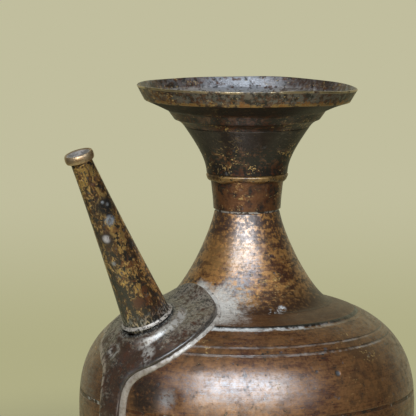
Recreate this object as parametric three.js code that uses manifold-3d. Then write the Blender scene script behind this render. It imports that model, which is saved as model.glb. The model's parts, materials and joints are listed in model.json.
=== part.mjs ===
// A spouted water pot of cast and turned bell metal, which is gripped by its neck and poured from a straight spout.
// It stands on its foot at z = 0, with its axis on Z and its spout in the XZ plane, leaning towards -X.
// Each casting is a solid of its own. The castings meet in spigots, rebates and sockets, closed with braze or solder.
// Sizes are in millimetres, and a profile is a list of points (radius, height).

import * as THREE from "three";
import { mergeVertices } from "three/addons/utils/BufferGeometryUtils.js";
import Module from "manifold-3d";

const wasm = await Module();
wasm.setup();

// Clearances
const BRAZE_GAP = 0.15; // between turned faces that are brazed together
const FIT_GAP = 0.3; // round pieces that are cut to the belly's curve or stand in the leaning spout

// Foot, a low splayed disc with a flat underside, hollowed on top to cradle the bowl
const FOOT_RADIUS = 46;
const FOOT_EDGE = 2.5; // upright edge at the floor
const FOOT_HEIGHT = 9;
const FOOT_LIP = 1.6; // metal left beside the bowl at the foot's top
const FOOT_FLOOR = 3; // metal under the middle of the bowl

// Belly, whose outline is one superellipse above the equator and another below it
const BELLY_RADIUS = 75;
const BELLY_WALL = 1.9;
const BOWL_DEPTH = 55;
const BOWL_POWER = 2.3;
const SHOULDER_RISE = 51.8;
const SHOULDER_POWER = 2.7;

// Joint between the bowl and the shoulder, a rebate with a brazed groove outside
const SEAM_RISE = 10; // above the equator
const SEAM_GROOVE_WIDTH = 2.6;
const SEAM_GROOVE_DEPTH = 0.9;
const REBATE_HEIGHT = 4;
const REBATE_WALL = 1.5;
const REBATE_TAPER = 6; // length over which the bowl thickens to carry the rebate

// Neck, in three turned castings: cone, collar and trumpet
const NECK_WALL = 1.9;
const SOCKET_WALL = 1.3; // metal outside a spigot
const SPIGOT_WALL = 1.4;
const SPIGOT_LENGTH = 4;
const DISH_SPIGOT_LENGTH = 2;
const OPENING_RADIUS = 31; // the hole in the shoulder
const CONE_FOOT_RADIUS = 38;
const CONE_FOOT_EDGE = 0.6;
const CONE_HEIGHT = 40.4;
const CONE_TOP_HANDLE = new THREE.Vector2(2.4, -13.2);
const CONE_FOOT_HANDLE = new THREE.Vector2(-7.4, 1.4);
const WAIST_RADIUS = 14.5;
const SOLDER_RING_HEIGHT = 1;
const SOLDER_RING_SHY = 0.3; // how far the solder lies behind the cone's edge
const COLLAR_RADIUS = 15;
const COLLAR_TOP_RADIUS = 16.7;
const COLLAR_HEIGHT = 15.9;
const COLLAR_HOLLOW = 0.4; // how far the collar's side draws in between its ends
const BEAD_HEIGHT = 2.6;
const BEAD_PROUD = 0.35;
const TRUMPET_BASE_RADIUS = 18;
const TRUMPET_TOP_RADIUS = 27.8;
const TRUMPET_HEIGHT = 20.5;
const TRUMPET_BASE_HANDLE = new THREE.Vector2(0.4, 7);
const TRUMPET_TOP_HANDLE = new THREE.Vector2(-5.3, -7.6);

// Mouth, a dish with an upright band over a stepped tier
const DISH_WALL = 1.6;
const TIER_COVE_HEIGHT = 3.2;
const TIER_HEIGHT = 3.6;
const TIER_LOW_RADIUS = 32.2;
const TIER_TOP_RADIUS = 34.8;
const TIER_STEP = new THREE.Vector2(0.8, 0.5); // from the tier's top to where the underside starts
const TIER_COVE = new THREE.Vector2(1.6, -0.8); // control point of the cove under the tier
const UNDERSIDE_HEIGHT = 5.5;
const BAND_LOW_RADIUS = 45.4;
const BAND_HEIGHT = 6.9;
const RIM_RADIUS = 48.8;
const RIM_WIDTH = 1.3;

// Spout, a tapered tube with a dished lip, socketed in the boss of its plate
const SPOUT_REACH = 53.6; // from the pot's axis to where the spout's axis meets the belly
const SPOUT_TILT = THREE.MathUtils.degToRad(26.2);
const SPOUT_STANDOFF = 5; // from the belly to the top of the boss
const SPOUT_LENGTH = 82; // from the top of the boss to the lip's face
const SPOUT_ROOT_RADIUS = 10.8;
const SPOUT_TIP_RADIUS = 4.7;
const SPOUT_WALL = 1.6; // at the root
const SPOUT_TIP_BORE = 1.8;
const SPOUT_ROOT_HANDLE = new THREE.Vector2(-2, 22);
const SPOUT_TIP_HANDLE = new THREE.Vector2(1.3, -26);
const SPOUT_SOCKET_DEPTH = 2;
const ROOT_SOLDER_SIZE = 1.4;
const LIP_RADIUS = 6.5;
const LIP_HEIGHT = 3.6;
const LIP_SOCKET_DEPTH = 0.8;
const LIP_FLOOR = 0.4; // metal between the socket and the dished face
const LIP_DISH_RADIUS = 5.1;

// Spout plate, a broad disc with a tail, bent over the shoulder and soldered all round
const PLATE_HALF_WIDTH = 27;
const PLATE_HALF_HEIGHT = 26.8;
const PLATE_RISE = 2.8; // from the spout's root up the slope to the disc's middle
const PLATE_THICKNESS = 2.6;
const TAIL_HALF_WIDTH = 6.3;
const TAIL_END_DROP = 14; // from the equator down to the tail's end
const TAIL_FILLET = 9;
const BOSS_LIP = 2.2; // metal round the spout's socket
const BOSS_FLARE = 2.4; // how much wider the boss is at the belly
const BOSS_ROOT = 9; // how far the boss runs down before the belly cuts it off
const PLATE_SOLDER_WIDTH = 2.6;
const PLATE_SOLDER_HEIGHT = 1.8;

// Facets
const TURNED_SIDES = 36;
const SPOUT_SIDES = 20;
const CURVE_STEPS = 5;
const BELLY_STEPS = 9;
const OUTLINE_STEPS = 9;

// Levels up the pot's axis
const EQUATOR_Z = FOOT_FLOOR + BOWL_DEPTH;
const SEAM_Z = EQUATOR_Z + SEAM_RISE;
const CONE_FOOT_Z = shoulderHeight(CONE_FOOT_RADIUS, -BRAZE_GAP);
const CONE_TOP_Z = CONE_FOOT_Z + CONE_HEIGHT;
const COLLAR_Z = CONE_TOP_Z + SOLDER_RING_HEIGHT;
const TRUMPET_Z = COLLAR_Z + COLLAR_HEIGHT;
const DISH_Z = TRUMPET_Z + TRUMPET_HEIGHT;
const TIER_Z = DISH_Z + TIER_COVE_HEIGHT;
const UNDERSIDE_Z = TIER_Z + TIER_HEIGHT;
const BAND_Z = UNDERSIDE_Z + UNDERSIDE_HEIGHT;
const RIM_Z = BAND_Z + BAND_HEIGHT;

// Radii of the neck's spigots, each from the socket that it fits
const OPENING_SPIGOT = OPENING_RADIUS - BRAZE_GAP;
const WAIST_SOCKET = WAIST_RADIUS - SOCKET_WALL;
const WAIST_SPIGOT = WAIST_SOCKET - BRAZE_GAP;
const TRUMPET_SOCKET = TRUMPET_BASE_RADIUS - NECK_WALL;
const TRUMPET_SPIGOT = TRUMPET_SOCKET - BRAZE_GAP;
const DISH_SOCKET = TRUMPET_TOP_RADIUS - SOCKET_WALL;
const DISH_SPIGOT = DISH_SOCKET - BRAZE_GAP;
const THROAT_RADIUS = DISH_SPIGOT - SPIGOT_WALL;

// Belly outline

function point(radius, height) {
  return new THREE.Vector2(radius, height);
}

// The point of the belly's surface, moved inwards by inset, at an angle from -90 at the bottom to 90 at the top.
function bellyPoint(degrees, inset) {
  const angle = THREE.MathUtils.degToRad(degrees);
  const above = degrees > 0;
  const power = 2 / (above ? SHOULDER_POWER : BOWL_POWER);
  const rise = (above ? SHOULDER_RISE : -BOWL_DEPTH) - (above ? inset : -inset);
  const radius = (BELLY_RADIUS - inset) * Math.max(Math.cos(angle), 0) ** power;
  return point(radius, EQUATOR_Z + rise * Math.abs(Math.sin(angle)) ** power);
}

// The angle, for bellyPoint, of a height.
function bellyAngle(height, inset) {
  const above = height > EQUATOR_Z;
  const rise = (above ? SHOULDER_RISE : BOWL_DEPTH) - inset;
  const share = Math.min(Math.abs(height - EQUATOR_Z) / rise, 1);
  const sine = share ** ((above ? SHOULDER_POWER : BOWL_POWER) / 2);
  return THREE.MathUtils.radToDeg(Math.asin(sine)) * (above ? 1 : -1);
}

function bellyRadius(height, inset) {
  return bellyPoint(bellyAngle(height, inset), inset).x;
}

// The shoulder's angle, for bellyPoint, at a radius.
function shoulderAngle(radius, inset) {
  const cosine = (radius / (BELLY_RADIUS - inset)) ** (SHOULDER_POWER / 2);
  return THREE.MathUtils.radToDeg(Math.acos(cosine));
}

function shoulderHeight(radius, inset) {
  return bellyPoint(shoulderAngle(radius, inset), inset).y;
}

function bellyArc(fromDegrees, toDegrees, inset, steps = BELLY_STEPS) {
  return Array.from({ length: steps + 1 }, (_, i) =>
    bellyPoint(THREE.MathUtils.lerp(fromDegrees, toDegrees, i / steps), inset),
  );
}

// Profile curves

function sweep(start, startHandle, end, endHandle, steps = CURVE_STEPS) {
  const curve = new THREE.CubicBezierCurve(
    start,
    start.clone().add(startHandle),
    end.clone().add(endHandle),
    end,
  );
  return curve.getPoints(steps);
}

// A line of points moved to its left by a distance, so a line that climbs moves towards the axis.
function moved(line, distance) {
  return line.map((here, i) => {
    const before = line[Math.max(i - 1, 0)];
    const after = line[Math.min(i + 1, line.length - 1)];
    const along = after.clone().sub(before).normalize();
    return point(here.x - along.y * distance, here.y + along.x * distance);
  });
}

function reversed(line) {
  return [...line].reverse();
}

// Solids

// A closed profile that runs up its outside and down its inside, turned about the Z axis.
function turned(profile, sides = TURNED_SIDES) {
  const onAxis = profile[0].x === 0 && profile.at(-1).x === 0;
  const line = onAxis ? profile : [...profile, profile[0]];
  return new THREE.LatheGeometry(line, sides).rotateX(Math.PI / 2);
}

function solidOf(geometry) {
  const bare = geometry.clone();
  bare.deleteAttribute("normal");
  bare.deleteAttribute("uv");
  const merged = mergeVertices(bare, 1e-4);
  return new wasm.Manifold(
    new wasm.Mesh({
      numProp: 3,
      vertProperties: merged.attributes.position.array,
      triVerts: new Uint32Array(merged.index.array),
    }),
  );
}

function geometryOf(solid) {
  const mesh = solid.getMesh();
  const geometry = new THREE.BufferGeometry();
  geometry.setAttribute("position", new THREE.BufferAttribute(mesh.vertProperties, 3));
  geometry.setIndex(new THREE.BufferAttribute(mesh.triVerts, 1));
  geometry.computeVertexNormals();
  return geometry;
}

function metal(color, roughness, metalness) {
  return new THREE.MeshStandardMaterial({ color, roughness, metalness });
}

const patina = metal(0x4a3524, 0.42, 0.85);
const wornBrass = metal(0x9a7440, 0.35, 0.95);
const darkBronze = metal(0x3a3026, 0.5, 0.8);
const braze = metal(0xa9803f, 0.4, 0.9);
const solder = metal(0xa9a293, 0.65, 0.4);

const pot = new THREE.Group();

function place(name, geometry, material, group = pot) {
  const mesh = new THREE.Mesh(geometry, material);
  mesh.name = name;
  group.add(mesh);
}

// Foot
const footTop = bellyPoint(bellyAngle(FOOT_HEIGHT, -BRAZE_GAP), -BRAZE_GAP);
const footSide = new THREE.QuadraticBezierCurve(
  point(FOOT_RADIUS, FOOT_EDGE),
  point(footTop.x + FOOT_LIP, FOOT_EDGE),
  point(footTop.x + FOOT_LIP, FOOT_HEIGHT),
).getPoints(CURVE_STEPS);
const footCradle = bellyArc(bellyAngle(FOOT_HEIGHT, -BRAZE_GAP), -90, -BRAZE_GAP, CURVE_STEPS);
footCradle.at(-1).x = 0;
place("foot", turned([point(0, 0), point(FOOT_RADIUS, 0), ...footSide, ...footCradle]), darkBronze);

// Bowl, the belly up to the seam, with the rebate that stands up inside the shoulder
const grooveHalf = SEAM_GROOVE_WIDTH / 2;
const grooveFloor = bellyRadius(SEAM_Z, 0) - SEAM_GROOVE_DEPTH;
const rebateOuter = BELLY_WALL + BRAZE_GAP;
const rebateInner = rebateOuter + REBATE_WALL;
const rebateTop = SEAM_Z + REBATE_HEIGHT;
const rebateRoot = SEAM_Z - grooveHalf;
const bowlOuter = bellyArc(-90, bellyAngle(SEAM_Z - grooveHalf, 0), 0);
bowlOuter[0].x = 0;
const bowlInner = bellyArc(bellyAngle(rebateRoot - REBATE_TAPER, BELLY_WALL), -90, BELLY_WALL);
bowlInner.at(-1).x = 0;
place(
  "bowl",
  turned([
    ...bowlOuter,
    point(grooveFloor, SEAM_Z),
    point(bellyRadius(SEAM_Z, rebateOuter), SEAM_Z),
    point(bellyRadius(rebateTop, rebateOuter), rebateTop),
    point(bellyRadius(rebateTop, rebateInner), rebateTop),
    point(bellyRadius(rebateRoot, rebateInner), rebateRoot),
    ...bowlInner,
  ]),
  patina,
);

// Shoulder, from the seam to the neck's opening, pierced for the spout
const shoulderOuter = bellyArc(bellyAngle(SEAM_Z + grooveHalf, 0), shoulderAngle(OPENING_RADIUS, 0), 0);
const shoulderInner = bellyArc(
  shoulderAngle(OPENING_RADIUS, BELLY_WALL),
  bellyAngle(SEAM_Z, BELLY_WALL),
  BELLY_WALL,
);
const shoulderShell = turned([point(grooveFloor, SEAM_Z), ...shoulderOuter, ...shoulderInner]);

// Spout axis: the local Z of the spout's group, which starts at the top of the boss
const spout = new THREE.Group();
const pierced = new THREE.Vector3(-SPOUT_REACH, 0, shoulderHeight(SPOUT_REACH, 0));
spout.rotation.y = -SPOUT_TILT;
const spoutAxis = new THREE.Vector3(0, 0, 1).applyEuler(spout.rotation);
spout.position.copy(pierced).addScaledVector(spoutAxis, SPOUT_STANDOFF);
spout.updateMatrix();
pot.add(spout);

// A turned solid on the spout's axis, in the pot's frame, for cutting.
function spoutCutter(profile) {
  return solidOf(turned(profile, SPOUT_SIDES).applyMatrix4(spout.matrix));
}

function rod(radius, low, high) {
  return [point(0, low), point(radius, low), point(radius, high), point(0, high)];
}

const waterway = SPOUT_ROOT_RADIUS - SPOUT_WALL;
const throughWall = SPOUT_STANDOFF + BOSS_ROOT + BELLY_WALL;
const waterwayCutter = spoutCutter(rod(waterway, -2 * throughWall, throughWall));
place("shoulder", geometryOf(solidOf(shoulderShell).subtract(waterwayCutter)), patina);

// Braze in the groove round the belly
place(
  "belly_braze_ring",
  turned([
    point(grooveFloor + BRAZE_GAP, SEAM_Z - BRAZE_GAP / 2),
    point(bellyRadius(SEAM_Z, 0) - SEAM_GROOVE_DEPTH / 4, SEAM_Z - grooveHalf / 2),
    point(bellyRadius(SEAM_Z, 0) - SEAM_GROOVE_DEPTH / 4, SEAM_Z + grooveHalf / 2),
    point(grooveFloor + BRAZE_GAP, SEAM_Z + BRAZE_GAP / 2),
  ]),
  darkBronze,
);

// Neck cone, which sits on the shoulder and drops a spigot through its opening
const coneOuter = sweep(
  point(CONE_FOOT_RADIUS, CONE_FOOT_Z + CONE_FOOT_EDGE),
  CONE_FOOT_HANDLE,
  point(WAIST_RADIUS, CONE_TOP_Z),
  CONE_TOP_HANDLE,
);
const coneSeat = bellyArc(
  shoulderAngle(OPENING_SPIGOT, -BRAZE_GAP),
  shoulderAngle(CONE_FOOT_RADIUS, -BRAZE_GAP),
  -BRAZE_GAP,
  2,
);
const coneSpigotInner = OPENING_SPIGOT - SPIGOT_WALL;
const coneSpigotEnd = shoulderHeight(OPENING_RADIUS, BELLY_WALL) - SPIGOT_LENGTH;
const waistSocketFloor = CONE_TOP_Z - SPIGOT_LENGTH - BRAZE_GAP;
const coneInner = reversed(moved(coneOuter, NECK_WALL))
  .filter((p) => p.y < waistSocketFloor)
  .map((p) => point(Math.min(p.x, coneSpigotInner), p.y));
place(
  "neck_cone",
  turned([
    point(OPENING_SPIGOT, coneSpigotEnd),
    ...coneSeat,
    ...coneOuter,
    point(WAIST_SOCKET, CONE_TOP_Z),
    point(WAIST_SOCKET, waistSocketFloor),
    point(WAIST_RADIUS - NECK_WALL, waistSocketFloor),
    ...coneInner,
    point(coneSpigotInner, coneSpigotEnd),
  ]),
  patina,
);

// Solder between the cone and the collar
const solderRingOuter = WAIST_RADIUS - SOLDER_RING_SHY;
place(
  "neck_solder_ring",
  turned([
    point(WAIST_SOCKET, CONE_TOP_Z),
    point(solderRingOuter, CONE_TOP_Z),
    point(solderRingOuter, COLLAR_Z),
    point(WAIST_SOCKET, COLLAR_Z),
  ]),
  solder,
);

// Neck collar, with a spigot down into the cone and one up into the trumpet
const collarSide = new THREE.QuadraticBezierCurve(
  point(COLLAR_RADIUS, COLLAR_Z),
  point((COLLAR_RADIUS + COLLAR_TOP_RADIUS) / 2 - COLLAR_HOLLOW, COLLAR_Z + COLLAR_HEIGHT / 2),
  point(COLLAR_TOP_RADIUS, TRUMPET_Z),
).getPoints(CURVE_STEPS);
const collarBore = WAIST_SPIGOT - SPIGOT_WALL;
const collarTopBore = TRUMPET_SPIGOT - SPIGOT_WALL;
place(
  "neck_collar",
  turned([
    point(WAIST_SPIGOT, CONE_TOP_Z - SPIGOT_LENGTH),
    point(WAIST_SPIGOT, COLLAR_Z),
    ...collarSide,
    point(TRUMPET_SPIGOT, TRUMPET_Z),
    point(TRUMPET_SPIGOT, TRUMPET_Z + SPIGOT_LENGTH),
    point(collarTopBore, TRUMPET_Z + SPIGOT_LENGTH),
    point(collarBore, COLLAR_Z),
    point(collarBore, CONE_TOP_Z - SPIGOT_LENGTH),
  ]),
  patina,
);

// Braze under the trumpet's edge, run round the collar
const beadInner = COLLAR_TOP_RADIUS + BRAZE_GAP;
const beadTop = TRUMPET_Z - BRAZE_GAP;
place(
  "neck_braze_bead",
  turned([
    point(beadInner, beadTop - BEAD_HEIGHT),
    point((beadInner + TRUMPET_BASE_RADIUS) / 2 + BEAD_PROUD, beadTop - (BEAD_HEIGHT * 3) / 4),
    point(TRUMPET_BASE_RADIUS + BEAD_PROUD, beadTop - BEAD_HEIGHT / 4),
    point(TRUMPET_BASE_RADIUS, beadTop),
    point(beadInner, beadTop),
  ]),
  braze,
);

// Neck trumpet, which flares up to a spigot in the mouth
const trumpetOuter = sweep(
  point(TRUMPET_BASE_RADIUS, TRUMPET_Z),
  TRUMPET_BASE_HANDLE,
  point(TRUMPET_TOP_RADIUS, DISH_Z),
  TRUMPET_TOP_HANDLE,
);
const trumpetInner = reversed(moved(trumpetOuter, NECK_WALL))
  .slice(1, -1)
  .map((p) => point(Math.max(Math.min(p.x, THROAT_RADIUS), TRUMPET_SOCKET), p.y));
place(
  "neck_trumpet",
  turned([
    ...trumpetOuter,
    point(DISH_SPIGOT, DISH_Z),
    point(DISH_SPIGOT, DISH_Z + DISH_SPIGOT_LENGTH),
    point(THROAT_RADIUS, DISH_Z + DISH_SPIGOT_LENGTH),
    ...trumpetInner,
    point(TRUMPET_SOCKET, TRUMPET_Z),
  ]),
  patina,
);

// Mouth dish, with its tier and its upright band in one casting
const dishSocketTop = DISH_Z + DISH_SPIGOT_LENGTH + BRAZE_GAP;
const stepEnd = point(TIER_TOP_RADIUS, UNDERSIDE_Z).add(TIER_STEP);
const tierCove = new THREE.QuadraticBezierCurve(
  point(TRUMPET_TOP_RADIUS, DISH_Z),
  point(TRUMPET_TOP_RADIUS, TIER_Z).add(TIER_COVE),
  point(TIER_LOW_RADIUS, TIER_Z),
).getPoints(3);
place(
  "mouth_dish",
  turned([
    point(DISH_SOCKET, DISH_Z),
    ...tierCove,
    point(TIER_TOP_RADIUS, UNDERSIDE_Z),
    stepEnd,
    point(BAND_LOW_RADIUS, BAND_Z),
    point(RIM_RADIUS, RIM_Z),
    point(RIM_RADIUS - RIM_WIDTH, RIM_Z),
    point(BAND_LOW_RADIUS - RIM_WIDTH / 2, BAND_Z + DISH_WALL),
    point(stepEnd.x - TIER_STEP.x, stepEnd.y + DISH_WALL),
    point(TIER_LOW_RADIUS - DISH_WALL, TIER_Z + DISH_WALL),
    point(THROAT_RADIUS, dishSocketTop + DISH_WALL),
    point(THROAT_RADIUS, dishSocketTop),
    point(DISH_SOCKET, dishSocketTop),
  ]),
  patina,
);

// Spout plate, cut out of a skin that lies over the shoulder and the foot of the neck

// The pot's outside, moved out by a distance, as a solid without a hollow.
function potCore(distance) {
  const low = bellyArc(bellyAngle(FOOT_HEIGHT, -distance), 90, -distance, 2 * BELLY_STEPS);
  low.at(-1).x = 0;
  const belly = turned([point(0, low[0].y), ...low]);
  const side = moved(coneOuter, -distance);
  const cone = turned([
    point(0, EQUATOR_Z),
    point(side[0].x, EQUATOR_Z),
    ...side,
    point(0, side.at(-1).y),
  ]);
  return solidOf(belly).add(solidOf(cone));
}

function skin(low, high) {
  return potCore(high).subtract(potCore(low));
}

// The plate's outline, grown by a distance: a disc that runs down into a tail through two fillets.
// It is drawn with a round disc, and punched stretches it to the plate's width.
const plateStretch = PLATE_HALF_WIDTH / PLATE_HALF_HEIGHT;
function plateOutline(grown) {
  const disc = PLATE_HALF_HEIGHT + grown;
  const half = (TAIL_HALF_WIDTH + grown) / plateStretch;
  const fillet = Math.max(TAIL_FILLET - grown, grown);
  const side = half + fillet;
  const neck = -Math.sqrt((disc + fillet) ** 2 - side ** 2);
  const lean = Math.atan2(neck, side);
  const end = neck - fillet;
  return new THREE.Shape()
    .moveTo(half, end)
    .lineTo(half, neck)
    .absarc(side, neck, fillet, Math.PI, Math.PI + lean, true)
    .absarc(0, 0, disc, lean, Math.PI - lean, false)
    .absarc(-side, neck, fillet, -lean, 0, true)
    .lineTo(-half, end);
}

// The tail's outline, grown by a distance, from its round end up to where the disc has taken over.
function tailOutline(grown) {
  const half = TAIL_HALF_WIDTH + grown;
  const end = EQUATOR_Z - TAIL_END_DROP + TAIL_HALF_WIDTH;
  return new THREE.Shape()
    .moveTo(half, end)
    .lineTo(half, SEAM_Z + TAIL_FILLET)
    .lineTo(-half, SEAM_Z + TAIL_FILLET)
    .lineTo(-half, end)
    .absarc(0, end, half, Math.PI, 2 * Math.PI, false);
}

// An outline drawn looking at the pot from outside, stretched across and pushed through the wall along a direction.
function punched(outline, stretch, centre, outwards, up, inside, outside) {
  const across = up.clone().cross(outwards);
  const geometry = new THREE.ExtrudeGeometry(outline, {
    depth: inside + outside,
    bevelEnabled: false,
    curveSegments: OUTLINE_STEPS,
  });
  geometry.scale(stretch, 1, 1).translate(0, 0, -inside);
  geometry.applyMatrix4(new THREE.Matrix4().makeBasis(across, up, outwards).setPosition(centre));
  return solidOf(geometry);
}

const step = 0.5;
const slopeFall = shoulderHeight(SPOUT_REACH - step, 0) - shoulderHeight(SPOUT_REACH + step, 0);
const slope = Math.atan2(slopeFall, 2 * step);
const plateUp = new THREE.Vector3(Math.cos(slope), 0, Math.sin(slope));
const plateOut = new THREE.Vector3(-Math.sin(slope), 0, Math.cos(slope));
const tailUp = new THREE.Vector3(0, 0, 1);
const tailOut = new THREE.Vector3(-1, 0, 0);
const axisFoot = new THREE.Vector3(0, 0, 0);

function plateCutter(grown) {
  const outline = plateOutline(grown);
  const reach = PLATE_HALF_HEIGHT;
  const middle = pierced.clone().addScaledVector(plateUp, PLATE_RISE);
  const disc = punched(outline, plateStretch, middle, plateOut, plateUp, reach, reach * 0.6);
  const tail = punched(tailOutline(grown), 1, axisFoot, tailOut, tailUp, 0, 2 * BELLY_RADIUS);
  return disc.add(tail);
}

const bossTop = SPOUT_ROOT_RADIUS + FIT_GAP + BOSS_LIP;
const boss = spoutCutter([
  point(0, -BOSS_ROOT),
  point(bossTop + BOSS_FLARE, -BOSS_ROOT),
  point(bossTop, 0),
  point(0, 0),
]).subtract(potCore(FIT_GAP));
const spoutSocket = spoutCutter(rod(SPOUT_ROOT_RADIUS + FIT_GAP, -SPOUT_SOCKET_DEPTH, SPOUT_STANDOFF));
place(
  "spout_plate",
  geometryOf(
    skin(FIT_GAP, FIT_GAP + PLATE_THICKNESS)
      .intersect(plateCutter(0))
      .add(boss)
      .subtract(spoutSocket)
      .subtract(waterwayCutter),
  ),
  patina,
);

// Solder round the plate's edge
place(
  "plate_solder_bead",
  geometryOf(
    skin(FIT_GAP, FIT_GAP + PLATE_SOLDER_HEIGHT)
      .intersect(plateCutter(FIT_GAP + PLATE_SOLDER_WIDTH))
      .subtract(plateCutter(FIT_GAP)),
  ),
  solder,
);

// Spout tube, from its seat in the boss to a spigot in the lip
const lipZ = SPOUT_LENGTH - LIP_HEIGHT;
const tubeOuter = sweep(
  point(SPOUT_ROOT_RADIUS, FIT_GAP - SPOUT_SOCKET_DEPTH),
  SPOUT_ROOT_HANDLE,
  point(SPOUT_TIP_RADIUS, lipZ - FIT_GAP),
  SPOUT_TIP_HANDLE,
);
const tipEnd = lipZ + LIP_SOCKET_DEPTH - FIT_GAP;
const tubeInner = sweep(
  point(SPOUT_TIP_BORE, tipEnd),
  SPOUT_TIP_HANDLE,
  point(waterway, FIT_GAP - SPOUT_SOCKET_DEPTH),
  SPOUT_ROOT_HANDLE,
);
const tipSpigot = (SPOUT_TIP_RADIUS + SPOUT_TIP_BORE) / 2;
place(
  "spout_tube",
  turned(
    [
      ...tubeOuter,
      point(tipSpigot, lipZ - FIT_GAP),
      point(tipSpigot, tipEnd),
      ...tubeInner,
    ],
    SPOUT_SIDES,
  ),
  wornBrass,
  spout,
);

// Solder in the corner between the tube and the boss
const rootCorner = SPOUT_ROOT_RADIUS + FIT_GAP;
place(
  "spout_root_solder",
  turned(
    [
      point(rootCorner, FIT_GAP),
      point(rootCorner + ROOT_SOLDER_SIZE, FIT_GAP),
      point(rootCorner + ROOT_SOLDER_SIZE / 3, FIT_GAP + ROOT_SOLDER_SIZE / 3),
      point(rootCorner, FIT_GAP + ROOT_SOLDER_SIZE),
    ],
    SPOUT_SIDES,
  ),
  solder,
  spout,
);

// Spout lip, a rounded ring with a dished face
const lipMiddle = lipZ + LIP_HEIGHT / 2;
const lipRound = new THREE.EllipseCurve(
  (LIP_RADIUS + LIP_DISH_RADIUS) / 2,
  lipMiddle,
  (LIP_RADIUS - LIP_DISH_RADIUS) / 2,
  LIP_HEIGHT / 2,
  -Math.PI / 2,
  Math.PI / 2,
).getPoints(CURVE_STEPS);
place(
  "spout_lip",
  turned(
    [
      point(tipSpigot + FIT_GAP, lipZ),
      ...lipRound,
      point(SPOUT_TIP_BORE, lipZ + LIP_SOCKET_DEPTH + LIP_FLOOR),
      point(SPOUT_TIP_BORE, lipZ + LIP_SOCKET_DEPTH),
      point(tipSpigot + FIT_GAP, lipZ + LIP_SOCKET_DEPTH),
    ],
    SPOUT_SIDES,
  ),
  wornBrass,
  spout,
);

export default pot;
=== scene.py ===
# A spouted water pot of cast and turned bell metal, with a slim neck, a dished mouth and a straight spout.
# It stands on z = 0 with its axis on Z, and its spout leans towards -X. Outlines are lists of
# (radius, height) in millimetres, and every mesh is made in metres.
import json
import math

import bmesh
import bpy
import numpy as np
from mathutils import Matrix, Vector

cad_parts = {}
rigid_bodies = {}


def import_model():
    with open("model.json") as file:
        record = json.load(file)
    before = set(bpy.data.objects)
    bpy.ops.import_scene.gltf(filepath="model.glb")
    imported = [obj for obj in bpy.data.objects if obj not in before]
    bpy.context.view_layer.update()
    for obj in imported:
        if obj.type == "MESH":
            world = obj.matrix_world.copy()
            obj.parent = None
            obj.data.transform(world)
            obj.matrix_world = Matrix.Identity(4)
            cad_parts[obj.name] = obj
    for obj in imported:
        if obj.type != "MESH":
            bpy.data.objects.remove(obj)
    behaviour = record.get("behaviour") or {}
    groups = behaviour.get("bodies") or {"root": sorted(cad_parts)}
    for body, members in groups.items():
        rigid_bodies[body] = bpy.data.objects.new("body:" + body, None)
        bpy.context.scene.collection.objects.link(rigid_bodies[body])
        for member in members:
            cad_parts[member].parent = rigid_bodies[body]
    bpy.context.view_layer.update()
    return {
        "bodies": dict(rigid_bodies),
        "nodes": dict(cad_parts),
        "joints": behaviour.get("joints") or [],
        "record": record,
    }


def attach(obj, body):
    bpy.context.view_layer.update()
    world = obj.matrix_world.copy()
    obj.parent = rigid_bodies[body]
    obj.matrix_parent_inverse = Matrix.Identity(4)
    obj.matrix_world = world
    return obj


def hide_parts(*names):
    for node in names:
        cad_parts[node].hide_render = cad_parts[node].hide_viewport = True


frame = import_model()

# Foot: a low splayed disc with a flat underside and a hollow on top for the bowl.
# It is cast in the same bell metal as the belly, darker from standing in the wet, and brazed on.
MM = 0.001
BRAZE_GAP = 0.15
EQUATOR = 58.0
BELLY_RADIUS = 74.8
BOWL_DEPTH = 55.0
BOWL_POWER = 2.3
SHOULDER_RISE = 51.8
SHOULDER_POWER = 2.7
FOOT_RADIUS = 46.0
FOOT_EDGE = 2.5
FOOT_HEIGHT = 9.0
FOOT_LIP = 1.6
FOOT_CORNER = 0.7
OUTLINE_STEP = 1.6
CORNER_ROOM = 0.45
STRAIGHT = -0.94
CRADLE_STEPS = 30
SAME_PLACE = 1e-6
CASTING_SIDES = 192
WANDER = 0.3
WANDER_SIZE = 26.0
WANDER_SEED = 3.0
NOISE_ROUGHNESS = 0.6


class Wire:
    """A node's output, on which Python's operators add Math nodes."""

    def __init__(self, tree, socket):
        self.tree = tree
        self.socket = socket

    def math(self, operation, first, second):
        return add(self.tree, "ShaderNodeMath", {"operation": operation}, {0: first, 1: second})

    def __add__(self, other):
        return self.math("ADD", self, other)

    def __radd__(self, other):
        return self.math("ADD", other, self)

    def __sub__(self, other):
        return self.math("SUBTRACT", self, other)

    def __rsub__(self, other):
        return self.math("SUBTRACT", other, self)

    def __mul__(self, other):
        return self.math("MULTIPLY", self, other)

    def __rmul__(self, other):
        return self.math("MULTIPLY", other, self)

    def __truediv__(self, other):
        return self.math("DIVIDE", self, other)

    def __rtruediv__(self, other):
        return self.math("DIVIDE", other, self)

    def __pow__(self, other):
        return self.math("POWER", self, other)

    def floor(self):
        return self.math("FLOOR", self, 0.0)

    def size(self):
        return self.math("ABSOLUTE", self, 0.0)

    def most(self, other):
        return self.math("MAXIMUM", self, other)


def add(tree, kind, settings=None, sockets=None, out=0):
    """Adds a node: first its settings, then the values or wires of its sockets. Gives one output."""
    node = tree.nodes.new(kind)
    for name, value in (settings or {}).items():
        setattr(node, name, value)
    for key, value in (sockets or {}).items():
        if isinstance(value, Wire):
            tree.links.new(value.socket, node.inputs[key])
        else:
            node.inputs[key].default_value = value
    return Wire(tree, node.outputs[out]) if len(node.outputs) else None


def rising(wire, low, high):
    """A mask that goes smoothly from 0 at low to 1 at high, whichever of the two is larger."""
    settings = {"interpolation_type": "SMOOTHSTEP"}
    return add(wire.tree, "ShaderNodeMapRange", settings, {0: wire, 1: low, 2: high})


def vector_math(tree, operation, sockets, out=0):
    return add(tree, "ShaderNodeVectorMath", {"operation": operation}, sockets, out)


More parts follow.
